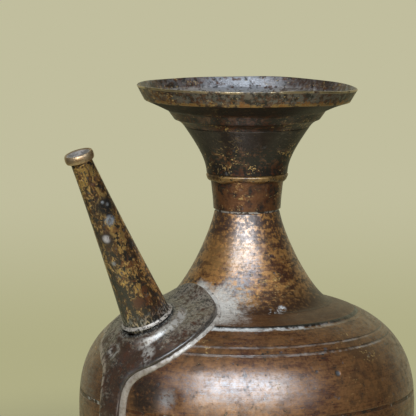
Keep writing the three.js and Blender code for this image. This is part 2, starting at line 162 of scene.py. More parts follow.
class Finish:
    """A metal finish in layers. Each layer has a mask, and covers what is under it where the mask is 1."""

    def __init__(self, name, colour, metal, rough, gloss=0.0, frame=None):
        self.material = bpy.data.materials.new(name)
        self.material.use_nodes = True
        self.tree = self.material.node_tree
        self.tree.nodes.clear()
        here = add(self.tree, "ShaderNodeTexCoord", out="Object")
        if frame:
            sockets = {"Vector": here, **frame}
            here = add(self.tree, "ShaderNodeMapping", {"vector_type": "TEXTURE"}, sockets)
        self.place = vector_math(self.tree, "SCALE", {0: here, "Scale": 1 / MM})
        self.x, self.y, self.z = (
            add(self.tree, "ShaderNodeSeparateXYZ", {}, {0: self.place}, out) for out in range(3)
        )
        self.radius = (self.x * self.x + self.y * self.y) ** 0.5
        self.colour = (*colour, 1.0)
        self.metal = metal
        self.rough = rough
        self.gloss = gloss
        self.height = 0.0

    def noise(self, size, seed, detail=3.0, place=None):
        """Cloudy noise about 0.5, with clouds of a size in millimetres."""
        sockets = {"W": seed, "Scale": 1 / size, "Detail": detail, "Roughness": NOISE_ROUGHNESS}
        sockets["Vector"] = place or self.place
        return add(self.tree, "ShaderNodeTexNoise", {"noise_dimensions": "4D"}, sockets)

    def turning(self, lean, length, width, seed, detail=2.0):
        """Noise drawn out round the pot, as by a lathe tool. Lean, 1 or -1, is across the outline."""
        across = (self.z + self.radius * lean) / width
        sockets = {0: self.x / length, 1: self.y / length, 2: across}
        return self.noise(1.0, seed, detail, add(self.tree, "ShaderNodeCombineXYZ", {}, sockets))

    def reading(self, name):
        """A value kept at the corners of the piece's mesh."""
        return add(self.tree, "ShaderNodeAttribute", {"attribute_name": name}, out="Fac")

    def spot(self, centre, reach):
        """A mask that is 1 at a place and fades to 0 at a distance, both in millimetres."""
        away = vector_math(self.tree, "DISTANCE", {0: self.place, 1: centre}, "Value")
        return rising(away, reach, reach * 0.35)

    def band(self, wire, middle, half):
        """A mask that is 1 where a wire has a value, and fades to 0 at a distance either way."""
        return rising((wire - middle).size(), half, half * 0.4)

    def lay(self, mask, colour, metal, rough, rise=0.0, gloss=None):
        """Adds a layer with its colour, metal, roughness, height in millimetres and gloss."""
        sockets = {0: mask, 6: self.colour, 7: (*colour, 1.0)}
        self.colour = add(self.tree, "ShaderNodeMix", {"data_type": "RGBA"}, sockets, 2)
        self.metal = self.metal + (metal - self.metal) * mask
        self.rough = self.rough + (rough - self.rough) * mask
        if gloss is not None:
            self.gloss = self.gloss + (gloss - self.gloss) * mask
        if rise:
            self.height = self.height + mask * rise

    def done(self, gloss_rough=0.25, gloss_ior=2.5):
        """Wires the layers into one surface and gives its material."""
        sockets = {
            "Base Color": self.colour,
            "Metallic": self.metal,
            "Roughness": self.rough,
            "Coat Weight": self.gloss,
            "Coat Roughness": gloss_rough,
            "Coat IOR": gloss_ior,
        }
        if isinstance(self.height, Wire):
            bump = {"Distance": MM, "Height": self.height}
            sockets["Normal"] = add(self.tree, "ShaderNodeBump", {}, bump)
        surface = add(self.tree, "ShaderNodeBsdfPrincipled", {}, sockets)
        add(self.tree, "ShaderNodeOutputMaterial", {}, {"Surface": surface})
        return self.material


def new_tree(name, inputs, output):
    """A node tree with named inputs of given kinds and one output, and the wires of its inputs."""
    tree = bpy.data.node_groups.new(name, "GeometryNodeTree")
    for label, kind in inputs.items():
        tree.interface.new_socket(label, in_out="INPUT", socket_type="NodeSocket" + kind)
    tree.interface.new_socket(output, in_out="OUTPUT", socket_type="NodeSocketGeometry")
    sockets = tree.nodes.new("NodeGroupInput").outputs
    return tree, {socket.name: Wire(tree, socket) for socket in sockets}


def sampled_at(geometry, value, index):
    """A vector as it is at one point of a geometry."""
    settings = {"data_type": "FLOAT_VECTOR", "domain": "POINT"}
    sockets = {"Geometry": geometry, "Value": value, "Index": index}
    return add(index.tree, "GeometryNodeSampleIndex", settings, sockets)


def end_tree(tree, shell, finish):
    """Ends a node tree with smooth shading, real instances and a finish."""
    shell = add(tree, "GeometryNodeSetShadeSmooth", {}, {"Geometry": shell})
    shell = add(tree, "GeometryNodeRealizeInstances", {}, {"Geometry": shell})
    shell = add(tree, "GeometryNodeSetMaterial", {}, {"Geometry": shell, "Material": finish})
    add(tree, "NodeGroupOutput", {}, {0: shell})
    return tree


def turned_casting_tree():
    """Turns an outline of loose points about Z, then lets the surface wander inwards as by hand."""
    inputs = {"Outline": "Geometry", "Sides": "Int", "Wander": "Float", "Wander Size": "Float"}
    inputs |= {"Seed": "Float", "Finish": "Material"}
    tree, given = new_tree("turned_casting", inputs, "Casting")
    here = add(tree, "GeometryNodeInputPosition")
    index = add(tree, "GeometryNodeInputIndex")
    rows = add(tree, "GeometryNodeAttributeDomainSize", {"component": "MESH"}, {0: given["Outline"]})
    sheet = add(tree, "GeometryNodeMeshGrid", {}, {"Vertices X": given["Sides"] + 1, "Vertices Y": rows})
    column = (index / rows).floor()
    point = sampled_at(given["Outline"], here, index - column * rows)
    swing = {"Vector": point, "Angle": column * math.tau / given["Sides"]}
    swung = add(tree, "ShaderNodeVectorRotate", {"rotation_type": "Z_AXIS"}, swing)
    shell = add(tree, "GeometryNodeSetPosition", {}, {"Geometry": sheet, "Position": swung})
    shell = add(tree, "GeometryNodeMergeByDistance", {}, {"Geometry": shell, "Distance": SAME_PLACE})
    sockets = {"Vector": here, "W": given["Seed"], "Scale": 1 / given["Wander Size"], "Detail": 3.0}
    clouds = add(tree, "ShaderNodeTexNoise", {"noise_dimensions": "4D"}, sockets)
    flat = vector_math(tree, "MULTIPLY", {0: here, 1: (1, 1, 0)})
    outwards = vector_math(tree, "NORMALIZE", {0: flat})
    inwards = vector_math(tree, "SCALE", {0: outwards, "Scale": clouds * given["Wander"] * -1})
    shell = add(tree, "GeometryNodeSetPosition", {}, {"Geometry": shell, "Offset": inwards})
    return end_tree(tree, shell, given["Finish"])


def placed(name, data):
    """A new object in the scene."""
    thing = bpy.data.objects.new(name, data)
    bpy.context.collection.objects.link(thing)
    return thing


def holder_of(name, points):
    """An object of loose points for a node tree to work on."""
    mesh = bpy.data.meshes.new(name)
    mesh.from_pydata([tuple(point) for point in points], [], [])
    return placed(name, mesh)


def made_by(tree, holder, values):
    """Runs a node tree on an object and keeps the result as a plain mesh with its faces outwards."""
    modifier = holder.modifiers.new(tree.name, "NODES")
    modifier.node_group = tree
    for socket in tree.interface.items_tree:
        if socket.name in values:
            modifier[socket.identifier] = values[socket.name]
    graph = bpy.context.evaluated_depsgraph_get()
    mesh = bpy.data.meshes.new_from_object(holder.evaluated_get(graph))
    holder.modifiers.clear()
    mesh.name = holder.name
    holder.data = mesh
    face_outwards(mesh)
    return holder


def face_outwards(mesh):
    mesh.calc_loop_triangles()
    spots = places(mesh)
    corners = np.empty(len(mesh.loop_triangles) * 3, int)
    mesh.loop_triangles.foreach_get("vertices", corners)
    first, second, third = (spots[corners.reshape(-1, 3)[:, k]] for k in range(3))
    if np.einsum("ij,ij->", first, np.cross(second, third)) < 0:
        mesh.flip_normals()


def places(mesh):
    flat = np.empty(len(mesh.vertices) * 3)
    mesh.vertices.foreach_get("co", flat)
    return flat.reshape(-1, 3)


def replace_places(mesh, spots):
    mesh.vertices.foreach_set("co", spots.ravel())
    mesh.update()


turned_casting = turned_casting_tree()


def turn(name, outline, corner, finish, sides=CASTING_SIDES, wander=WANDER, size=WANDER_SIZE):
    """A casting turned about Z. Its outline, and how far corners are rounded, are in millimetres."""
    points = [(radius * MM, 0, height * MM) for radius, height in softened(outline, corner)]
    values = {"Sides": sides, "Wander": wander * MM, "Wander Size": size * MM}
    values |= {"Seed": WANDER_SEED, "Finish": finish}
    return made_by(turned_casting, holder_of(name, points), values)


def unit(vectors):
    return vectors / np.linalg.norm(vectors, axis=-1, keepdims=True)


def softened(corners, reach, steps=4):
    """A closed outline with its sharp corners rounded, and with no stretch longer than one step."""
    corners = [np.array(corner, float) for corner in corners]
    pairs = zip(corners, corners[-1:] + corners[:-1])
    corners = [here for here, before in pairs if math.dist(here, before) > SAME_PLACE]
    line = []
    for i, here in enumerate(corners):
        before, after = corners[i - 1], corners[(i + 1) % len(corners)]
        back, ahead = before - here, after - here
        room = min(reach, CORNER_ROOM * np.linalg.norm(back), CORNER_ROOM * np.linalg.norm(ahead))
        start, end = here + unit(back) * room, here + unit(ahead) * room
        if np.dot(unit(back), unit(ahead)) < STRAIGHT or here[0] == 0:
            line.append(here)
        else:
            for share in np.linspace(0, 1, steps + 1):
                line.append(start * (1 - share) ** 2 + here * 2 * share * (1 - share) + end * share**2)
    even = []
    for here, after in zip(line, line[1:] + line[:1]):
        pieces = max(1, math.ceil(math.dist(here, after) / OUTLINE_STEP))
        even += [here + (after - here) * k / pieces for k in range(pieces)]
    even.append(even[0])
    return even


def belly_point(degrees, inset=0.0):
    """The belly's outline, moved inwards, from -90 degrees at the bottom to 90 at the top."""
    angle = math.radians(degrees)
    above = degrees > 0
    power = 2 / (SHOULDER_POWER if above else BOWL_POWER)
    rise = SHOULDER_RISE - inset if above else inset - BOWL_DEPTH
    radius = (BELLY_RADIUS - inset) * max(math.cos(angle), 0.0) ** power
    return radius, EQUATOR + rise * abs(math.sin(angle)) ** power


def belly_angle(height, inset=0.0):
    """Where belly_point reaches a height."""
    above = height > EQUATOR
    rise = (SHOULDER_RISE if above else BOWL_DEPTH) - inset
    share = min(abs(height - EQUATOR) / rise, 1.0)
    angle = math.degrees(math.asin(share ** ((SHOULDER_POWER if above else BOWL_POWER) / 2)))
    return angle if above else -angle


def belly_arc(start, end, inset=0.0, steps=60):
    return [belly_point(degrees, inset) for degrees in np.linspace(start, end, steps + 1)]


def belly_radius(height, inset=0.0):
    return belly_point(belly_angle(height, inset), inset)[0]


def bent(start, start_handle, end, end_handle, steps=28):
    """Points along a cubic curve. Each handle is given from its own end."""
    first, last = np.array(start, float), np.array(end, float)
    second, third = first + start_handle, last + end_handle
    share = np.linspace(0, 1, steps + 1)[:, None]
    left = 1 - share
    return first * left**3 + second * 3 * share * left**2 + third * 3 * share**2 * left + last * share**3


def swept(start, corner, end, steps=28):
    """Points along a curve that sets out towards a corner and comes in from it."""
    start, corner, end = (np.array(point, float) for point in (start, corner, end))
    return bent(start, (corner - start) * 2 / 3, end, (corner - end) * 2 / 3, steps)


def fix(piece, node):
    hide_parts(node)
    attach(piece, "root")


CHESTNUT = (0.105, 0.032, 0.011)
BROWN = (0.36, 0.165, 0.058)
OCHRE = (0.48, 0.205, 0.055)
WORN_GOLD = (0.85, 0.56, 0.22)
UMBER = (0.075, 0.036, 0.018)
BLACK_PATINA = (0.02, 0.015, 0.011)
BLOOM = (0.15, 0.15, 0.16)


def bronze(name, lean, drawn, ochre, gold, veins, black, gloss, worn=OCHRE):
    """Bell metal under patina: chestnut, worn to a paler tone and to gold and blotted with black.
    Drawn is the share of the mottle that follows the turning. Ochre, gold, veins and black are
    the levels of a noise about 0.5 above which each kind of mark shows."""
    finish = Finish(name, CHESTNUT, 0.45, 0.55)
    clouds = finish.noise(20, 1.0, 5.0)
    islands = finish.turning(lean, 6, 3, 2.0, 6.0)
    lines = finish.turning(lean, 16, 0.6, 3.0, 3.0)
    grain = finish.noise(1.3, 4.0, 3.0)
    blots = finish.noise(3.6, 5.0, 6.0)
    mottle = islands * (0.65 - drawn) + lines * drawn + grain * 0.35 + (clouds - 0.5) * 0.5
    threads = finish.band(finish.noise(4.5, 6.0, 2.0), 0.5, 0.03)
    dark = blots * 0.35 + lines * 0.2 + grain * 0.45
    finish.gloss = gloss * (rising(grain * 0.4 + blots * 0.3 + lines * 0.3, 0.58, 0.42) * 0.6 + 0.4)
    finish.lay(rising(mottle, ochre - 0.1, ochre + 0.1), worn, 0.6, 0.52)
    finish.lay(rising(clouds * 0.55 + blots * 0.45, 0.5, 0.6) * 0.6, UMBER, 0.4, 0.52)
    finish.lay(rising(dark, black, black + 0.07), BLACK_PATINA, 0.3, 0.5, -0.1, gloss * 0.4)
    rubbed = rising(mottle + (grain - 0.5) * 0.3, gold, gold + 0.06)
    finish.lay(rubbed, WORN_GOLD, 0.8, 0.48, 0.1, gloss * 0.5)
    finish.lay(threads * rising(mottle, veins, veins + 0.04), WORN_GOLD, 0.9, 0.45, 0.1, gloss * 0.4)
    finish.lay(rising(finish.noise(3.2, 7.0), 0.63, 0.72) * 0.7, BLOOM, 0.5, 0.45, -0.2)
    finish.height = finish.height + islands * 0.25 + lines * 0.08 + grain * 0.15
    return finish


foot_lip = belly_radius(FOOT_HEIGHT, -BRAZE_GAP) + FOOT_LIP
foot_side = swept((FOOT_RADIUS, FOOT_EDGE), (foot_lip, FOOT_EDGE), (foot_lip, FOOT_HEIGHT))
foot_cradle = belly_arc(belly_angle(FOOT_HEIGHT, -BRAZE_GAP), -90, -BRAZE_GAP, CRADLE_STEPS)
foot_cradle[-1] = (0, foot_cradle[-1][1])
foot_outline = [(0, 0), (FOOT_RADIUS, 0), *foot_side, *foot_cradle]
finish = bronze(
    "foot_bronze", lean=1, drawn=0.3, ochre=0.54, gold=0.66, veins=0.6, black=0.5, gloss=0.5
)
finish.lay(rising(finish.z, 0.5, 0.1), (0.3, 0.22, 0.13), 0.9, 0.45)
foot = turn("foot_casting", foot_outline, FOOT_CORNER, finish.done())
fix(foot, "foot")

# Bowl: the belly up to a seam above its widest place, with a rebate that stands up inside the shoulder.
# Cast bell metal, turned outside, under a brown patina with fine streaks round the pot and a few pits.
BELLY_WALL = 1.9
SEAM = 68.0
GROOVE_HALF = 1.0
GROOVE_DEPTH = 0.6
REBATE_HEIGHT = 4.0
REBATE_WALL = 1.5
REBATE_TAPER = 6.0
CASTING_CORNER = 0.5
BOWL_STEPS = 90
LOW_DENT = ((-67.2, -29.2, 74.0), 9.0, 0.9)
BELLY_MARKS = {"drawn": 0.26, "ochre": 0.48, "gold": 0.65, "veins": 0.62, "black": 0.55}


def eased(values, low, high):
    """0 at low and 1 at high, with a smooth rise between them."""
    share = np.clip((np.asarray(values, float) - low) / (high - low), 0, 1)
    return share * share * (3 - 2 * share)


def dent(piece, knock):
    """Pushes a piece in towards the axis about one place. A knock is the place, its reach and its depth."""
    centre, reach, depth = knock
    spots = places(piece.data)
    push = depth * eased(np.linalg.norm(spots / MM - centre, axis=1), reach, 0)
    push *= MM / np.hypot(spots[:, 0], spots[:, 1]).clip(MM)
    spots[:, :2] -= spots[:, :2] * push[:, None]
    replace_places(piece.data, spots)


groove_floor = belly_radius(SEAM) - GROOVE_DEPTH
rebate_outer = BELLY_WALL + BRAZE_GAP
rebate_inner = rebate_outer + REBATE_WALL
rebate_top = SEAM + REBATE_HEIGHT
rebate_root = SEAM - GROOVE_HALF
bowl_outer = belly_arc(-90, belly_angle(rebate_root), 0, BOWL_STEPS)
bowl_inner = belly_arc(belly_angle(rebate_root - REBATE_TAPER, BELLY_WALL), -90, BELLY_WALL)
bowl_outer[0] = (0, bowl_outer[0][1])
bowl_inner[-1] = (0, bowl_inner[-1][1])
bowl_outline = [
    *bowl_outer,
    (groove_floor, SEAM),
    (belly_radius(SEAM, rebate_outer), SEAM),
    (belly_radius(rebate_top, rebate_outer), rebate_top),
    (belly_radius(rebate_top, rebate_inner), rebate_top),
    (belly_radius(rebate_root, rebate_inner), rebate_root),
    *bowl_inner,
]
finish = bronze("bowl_bronze", lean=1, **BELLY_MARKS, gloss=1.0, worn=BROWN)
bowl = turn("bowl_casting", bowl_outline, CASTING_CORNER, finish.done())
dent(bowl, LOW_DENT)
fix(bowl, "bowl")

# Braze round the belly: run into the groove between bowl and shoulder and turned flush.
# It has gone nearly black, with pale flecks where polish has dried in it.
BRAZE_SHY = 0.08
BRAZE_HALF = 0.8
BEAD_CORNER = 0.2
braze_foot = groove_floor + BRAZE_GAP
braze_face = belly_radius(SEAM) - BRAZE_SHY
seam_outline = [
    (braze_foot, SEAM - BRAZE_GAP / 2),
    (braze_face, SEAM - BRAZE_HALF),
    (braze_face, SEAM + BRAZE_HALF),
    (braze_foot, SEAM + BRAZE_GAP / 2),
]
finish = bronze(
    "seam_braze", lean=1, drawn=0.3, ochre=0.56, gold=0.68, veins=0.64, black=0.48, gloss=0.6
)
seam_specks = finish.noise(2.6, 11.0, 4.0)
finish.lay(rising(seam_specks, 0.6, 0.68) * 0.8, (0.5, 0.46, 0.38), 0.2, 0.6)
far_flecks = finish.spot((-72.5, 17.0, SEAM), 9.0) * rising(seam_specks, 0.46, 0.56)
finish.lay(far_flecks, (0.7, 0.66, 0.58), 0.2, 0.6)
seam = turn("seam_braze", seam_outline, BEAD_CORNER, finish.done())
dent(seam, LOW_DENT)
fix(seam, "belly_braze_ring")

# Shoulder: the upper half of the belly, from the seam to the opening under the neck.
# Cast and turned, with one bold ring and a pair of fine rings cut round it, pale with dried polish and a
# painted highlight.
OPENING_RADIUS = 31.0
CONE_FOOT_RADIUS = 38.0
SHOULDER_STEPS = 260
# Each ring: its radius, depth and half width, the x up to which it shows polish and painted highlight, and
# how much it shows.
RINGS = (
    (50.0, 0.45, 1.0, 22, 1.0),
    (60.0, 0.11, 0.35, 55, 0.3),
    (63.3, 0.11, 0.35, 55, 0.34),
)
# Each pit: its middle and reach.
PITS = (
    ((-17.6, -66.1, 87.5), 2.2),
    ((-7.4, -69.3, 85.4), 1.8),
    ((-45.0, -53.0, 87.0), 1.6),
)
RING_POLISH_AND_HIGHLIGHT = (0.88, 0.86, 0.82)
DRIED_POLISH = (0.77, 0.71, 0.63)
SMEAR_REACH = 23.0
SMEAR_WANDER = 22.0


def shoulder_angle(radius, inset=0.0):
    return math.degrees(math.acos((radius / (BELLY_RADIUS - inset)) ** (SHOULDER_POWER / 2)))


def shoulder_height(radius, inset=0.0):
    return belly_point(shoulder_angle(radius, inset), inset)[1]


def ring_cut(point):
    """How deep the engraved rings are at a point of the shoulder's outline."""
    return sum(
        depth * math.exp(-((math.dist(point, (radius, shoulder_height(radius))) / half) ** 2))
        for radius, depth, half, ends, share in RINGS
    )


def wipe(finish):
    """Lays solder wiped over the metal on the near side of the spout's plate."""
    patches = finish.noise(5, 81.0, 6.0)
    streaks = finish.noise(1.3, 82.0, 5.0)
    spread = rising(finish.y, -6.0, -20.0) * 0.75 + 0.25
    away = finish.reading("off_plate") / spread + (patches - 0.5) * SMEAR_WANDER
    beside = rising(finish.y, 6.0, -3.0) * rising(finish.z, 101.5, 105.5)
    smear = rising(away, SMEAR_REACH, 0.0) * beside
    covered = rising(smear + (streaks - 0.5) * 1.6, 0.2, 1.0) * smear ** 0.5
    finish.lay(covered, DRIED_POLISH, 0.2, 0.5, 0.15, 0.2)
    finish.lay(rising(streaks, 0.56, 0.66) * smear * 0.7, (0.12, 0.09, 0.065), 0.3, 0.6)


shoulder_top = shoulder_angle(OPENING_RADIUS)
shoulder_outer = [
    belly_point(degrees, ring_cut(belly_point(degrees)))
    for degrees in np.linspace(belly_angle(SEAM + GROOVE_HALF), shoulder_top, SHOULDER_STEPS)
]
shoulder_inner = belly_arc(
    shoulder_angle(OPENING_RADIUS, BELLY_WALL), belly_angle(SEAM, BELLY_WALL), BELLY_WALL
)
shoulder_outline = [(groove_floor, SEAM), *shoulder_outer, *shoulder_inner]
finish = bronze("shoulder_bronze", lean=-1, **BELLY_MARKS, gloss=1.0, worn=BROWN)
ring_breaks = finish.noise(6, 21.0, 6.0)
ring_grit = finish.noise(1.5, 22.0, 4.0)
under_neck = finish.band(finish.radius, CONE_FOOT_RADIUS + 4, 9)
under_neck = under_neck * rising(ring_grit * 0.5 + ring_breaks * 0.5, 0.3, 0.48)
finish.lay(under_neck * 0.7, (0.1, 0.042, 0.016), 0.5, 0.55, gloss=0.25)
wipe(finish)
for radius, depth, half, ends, share in RINGS:
    # Pale polish in each ring with a painted highlight on it, whitest at the start by the plate and fading
    # round away from the spout.
    polish_and_highlight = rising(ring_breaks, 0.6, 0.42).most(rising(finish.x, -22.0, -32.0) * share)
    polish_and_highlight = polish_and_highlight * rising(finish.x, ends, ends - 45) * share
    edge = finish.band(finish.radius, radius - half * 1.5, half)
    edge = edge * rising(ring_breaks, 0.35, 0.5) * (share + 0.3)
    finish.lay(edge, BLACK_PATINA, 0.4, 0.5)
    ragged = finish.radius + (ring_grit - 0.5) * half * 2
    groove = finish.band(ragged, radius, half * 1.6)
    finish.lay(groove * polish_and_highlight, RING_POLISH_AND_HIGHLIGHT, 0.2, 0.5)
# Painted shade on the belly beside the plate's solder roll and round the dent.
painted_shade_by_dent = finish.spot((-71.0, -18.0, 76.0), 13.0) * rising(ring_grit, 0.3, 0.5)
finish.lay(painted_shade_by_dent * 0.85, BLACK_PATINA, 0.4, 0.5, gloss=0.4)
# A painted highlight: a pale spot where the dent would catch the light.
painted_dent_highlight = finish.spot((-67.5, -28.9, 75.6), 5.5) * rising(ring_grit, 0.36, 0.54)
finish.lay(painted_dent_highlight * 0.7, (0.4, 0.38, 0.37), 0.4, 0.45)
for centre, reach in PITS:
    pit = finish.spot(centre, reach)
    finish.lay(pit * rising(ring_breaks, 0.4, 0.5), BLOOM, 0.4, 0.45, -0.8)
shoulder = turn("shoulder_casting", shoulder_outline, CASTING_CORNER, finish.done())
dent(shoulder, LOW_DENT)
fix(shoulder, "shoulder")

# Neck cone: sits on the shoulder, drops a spigot through its opening, and sweeps in to the pot's waist.
# Cast and turned, redder than the belly, gold where worn and darker at its foot, with painted shade on its
# right side, dirt and painted shade at its waist, and a painted sheen low in front.
NECK_WALL = 1.9
SOCKET_WALL = 1.3
SPIGOT_WALL = 1.4
SPIGOT_LENGTH = 4.0
DISH_SPIGOT_LENGTH = 2.0
CONE_FOOT_EDGE = -0.1
CONE_SEAT_GAP = 0.02
CONE_HEIGHT = 40.4
CONE_TOP_HANDLE = (2.4, -13.2)
CONE_FOOT_HANDLE = (-7.4, 1.4)
WAIST_RADIUS = 14.5
SEAT_STEPS = 6
LONG_CURVE = 40


def moved(line, distance):
    """A line of points moved to its left, so a line that climbs moves towards the axis."""
    line = np.array(line)
    along = unit(np.gradient(line, axis=0))
    return line + np.stack([-along[:, 1], along[:, 0]], 1) * distance


cone_foot = shoulder_height(CONE_FOOT_RADIUS, -BRAZE_GAP)
cone_top = cone_foot + CONE_HEIGHT
opening_spigot = OPENING_RADIUS - BRAZE_GAP
waist_socket = WAIST_RADIUS - SOCKET_WALL
waist_spigot = waist_socket - BRAZE_GAP
cone_spigot_inner = opening_spigot - SPIGOT_WALL
cone_spigot_end = shoulder_height(OPENING_RADIUS, BELLY_WALL) - SPIGOT_LENGTH
socket_floor = cone_top - SPIGOT_LENGTH - BRAZE_GAP
cone_low = (CONE_FOOT_RADIUS, cone_foot + CONE_FOOT_EDGE)
cone_high = (WAIST_RADIUS, cone_top)
cone_outer = bent(cone_low, CONE_FOOT_HANDLE, cone_high, CONE_TOP_HANDLE, LONG_CURVE)
seat_start = shoulder_angle(opening_spigot, -CONE_SEAT_GAP)
seat_end = shoulder_angle(CONE_FOOT_RADIUS, -CONE_SEAT_GAP)
cone_seat = belly_arc(seat_start, seat_end, -CONE_SEAT_GAP, SEAT_STEPS)
cone_inner = [
    (min(radius, cone_spigot_inner), height)
    for radius, height in moved(cone_outer, NECK_WALL)[::-1]
    if height < socket_floor
]
cone_outline = [
    (opening_spigot, cone_spigot_end),
    *cone_seat,
    *cone_outer,
    (waist_socket, cone_top),
    (waist_socket, socket_floor),
    (WAIST_RADIUS - NECK_WALL, socket_floor),
    *cone_inner,
    (cone_spigot_inner, cone_spigot_end),
]
finish = bronze(
    "cone_bronze", lean=-1, drawn=0.24, ochre=0.48, gold=0.61, veins=0.57, black=0.5, gloss=1.0
)
cone_right = finish.x * 0.77 - finish.y * 0.64
cone_clouds = finish.noise(5, 22.0, 6.0)
# Painted shade: the cone is darkened on its right side as the camera sees it, most towards its foot.
painted_cone_shade = rising(finish.radius + cone_clouds * 26 + cone_right * 0.35, 44.0, 60.0)
finish.lay(painted_cone_shade * 0.75, BLACK_PATINA, 0.4, 0.5, gloss=0.5)
cone_fleck = finish.noise(1.7, 24.0, 5.0)
cone_drawn = finish.turning(-1, 7.5, 2.6, 25.0, 6.0)
cone_patch = cone_drawn * 0.6 + finish.noise(11, 28.0, 5.0) * 0.4
cone_tone = cone_patch * 0.65 + cone_fleck * 0.35
finish.lay(rising(cone_tone, 0.51, 0.57) * 0.8, (0.075, 0.018, 0.008), 0.5, 0.5)
finish.lay(rising(cone_tone, 0.52, 0.45) * 0.75, (0.78, 0.38, 0.11), 0.7, 0.5)
# Darker towards the cone's foot, a little more on its right side as the camera sees it.
cone_foot_dark = rising(finish.radius + cone_fleck * 8 + cone_right * 0.12, 31.5, 41.0)
cone_foot_dark = cone_foot_dark * (rising(cone_fleck, 0.3, 0.5) * 0.4 + 0.6)
finish.lay(cone_foot_dark, (0.08, 0.034, 0.014), 0.5, 0.52, gloss=0.4)
cone_grit = finish.noise(1.6, 23.0, 5.0)
scuffs = finish.spot((-12.5, -34.7, 107.0), 4.0) * rising(cone_grit, 0.5, 0.58)
flake = finish.spot((-8.1, -33.8, 108.3), 2.4) * rising(cone_fleck, 0.4, 0.48)
finish.lay(scuffs.most(flake), (0.85, 0.83, 0.8), 0.2, 0.5, 0.1)
left_wear = finish.spot((-18.5, -8.0, 131.0), 15.0) * rising(cone_fleck, 0.42, 0.54)
finish.lay(left_wear * 0.8, (0.58, 0.3, 0.09), 0.7, 0.48)
high_stain = finish.spot((-14.5, -3.0, 142.0), 9.0) * rising(cone_patch, 0.42, 0.52)
finish.lay(high_stain * 0.75, (0.06, 0.017, 0.009), 0.5, 0.5)
# A pale bluish haze low on the cone's front: dust, and a painted sheen that carries the highlight further
# down.
haze_and_sheen = finish.spot((-22.0, -18.5, 116.8), 10.0) * rising(cone_fleck, 0.4, 0.56)
finish.lay(haze_and_sheen * 0.6, (0.34, 0.32, 0.33), 0.3, 0.5)
# Dirt flecks, and painted shade that makes the cone darker and less glossy towards its waist, dimming the
# top of its highlight.
waist_dirt_and_shade = rising(finish.z, cone_top - 24, cone_top - 3) * rising(cone_fleck, 0.42, 0.54)
finish.lay(waist_dirt_and_shade * 0.85, (0.085, 0.045, 0.028), 0.4, 0.55, gloss=0.3)
wipe(finish)
cone = turn("cone_casting", cone_outline, CASTING_CORNER, finish.done())
fix(cone, "neck_cone")

# Solder between cone and collar: a thin ring, dull pale grey, a little behind the cone's edge.
# It was run in with a torch, so its face is uneven.
SOLDER_RING_HEIGHT = 1.0
SOLDER_RING_SHY = 0.3
SOLDER_GREY = (0.56, 0.5, 0.43)
SOLDER_TARNISH = (0.27, 0.21, 0.165)
SOLDER_GRIME = (0.06, 0.048, 0.038)
collar_foot = cone_top + SOLDER_RING_HEIGHT


def solder(name, dirt=0.62):
    """Dull grey solder. Dirt is the level of a noise about 0.5 above which grime covers it."""
    finish = Finish(name, SOLDER_GREY, 0.3, 0.5, 0.3)
    lumps = finish.noise(3.2, 31.0, 5.0)
    grime = finish.noise(1.4, 32.0, 4.0)
    finish.lay(rising(lumps * 0.5 + grime * 0.5, 0.44, 0.58) * 0.85, SOLDER_TARNISH, 0.2, 0.55)
    finish.lay(rising(grime + (lumps - 0.5) * 0.4, dirt, dirt + 0.07), SOLDER_GRIME, 0.3, 0.7)
    finish.height = lumps * 0.35 + grime * 0.15
    return finish


waist_face = WAIST_RADIUS - SOLDER_RING_SHY
waist_outline = [
    (waist_socket, cone_top),
    (waist_face, cone_top),
    (waist_face, collar_foot),
    (waist_socket, collar_foot),
]
finish = solder("waist_solder_grey", dirt=0.5)
waist = turn("waist_solder", waist_outline, BEAD_CORNER, finish.done())
fix(waist, "neck_solder_ring")

# Neck collar: a short sleeve where the hand closes, with a spigot at each end.
# Cast and turned, dark red-brown from handling, with flecks of gold.
COLLAR_RADIUS = 15.0
COLLAR_TOP_RADIUS = 16.7
COLLAR_HEIGHT = 15.9
COLLAR_HOLLOW = 0.4
NECK_CORNER = 0.4
TRUMPET_BASE_RADIUS = 18.0
trumpet_foot = collar_foot + COLLAR_HEIGHT
trumpet_socket = TRUMPET_BASE_RADIUS - NECK_WALL
trumpet_spigot = trumpet_socket - BRAZE_GAP
collar_middle = (COLLAR_RADIUS + COLLAR_TOP_RADIUS) / 2 - COLLAR_HOLLOW
collar_side = swept(
    (COLLAR_RADIUS, collar_foot),
    (collar_middle, collar_foot + COLLAR_HEIGHT / 2),
    (COLLAR_TOP_RADIUS, trumpet_foot),
)
collar_bore = waist_spigot - SPIGOT_WALL
collar_outline = [
    (waist_spigot, cone_top - SPIGOT_LENGTH),
    (waist_spigot, collar_foot),
    *collar_side,
    (trumpet_spigot, trumpet_foot),
    (trumpet_spigot, trumpet_foot + SPIGOT_LENGTH),
    (trumpet_spigot - SPIGOT_WALL, trumpet_foot + SPIGOT_LENGTH),
    (collar_bore, collar_foot),
    (collar_bore, cone_top - SPIGOT_LENGTH),
]
finish = bronze(
    "collar_bronze", lean=1, drawn=0.2, ochre=0.54, gold=0.6, veins=0.5, black=0.47, gloss=0.85
)
collar_wear = rising(finish.noise(4.5, 24.0, 5.0), 0.42, 0.58)
finish.lay(collar_wear * 0.6, (0.3, 0.12, 0.04), 0.6, 0.48)
collar = turn("collar_casting", collar_outline, NECK_CORNER, finish.done())
fix(collar, "neck_collar")

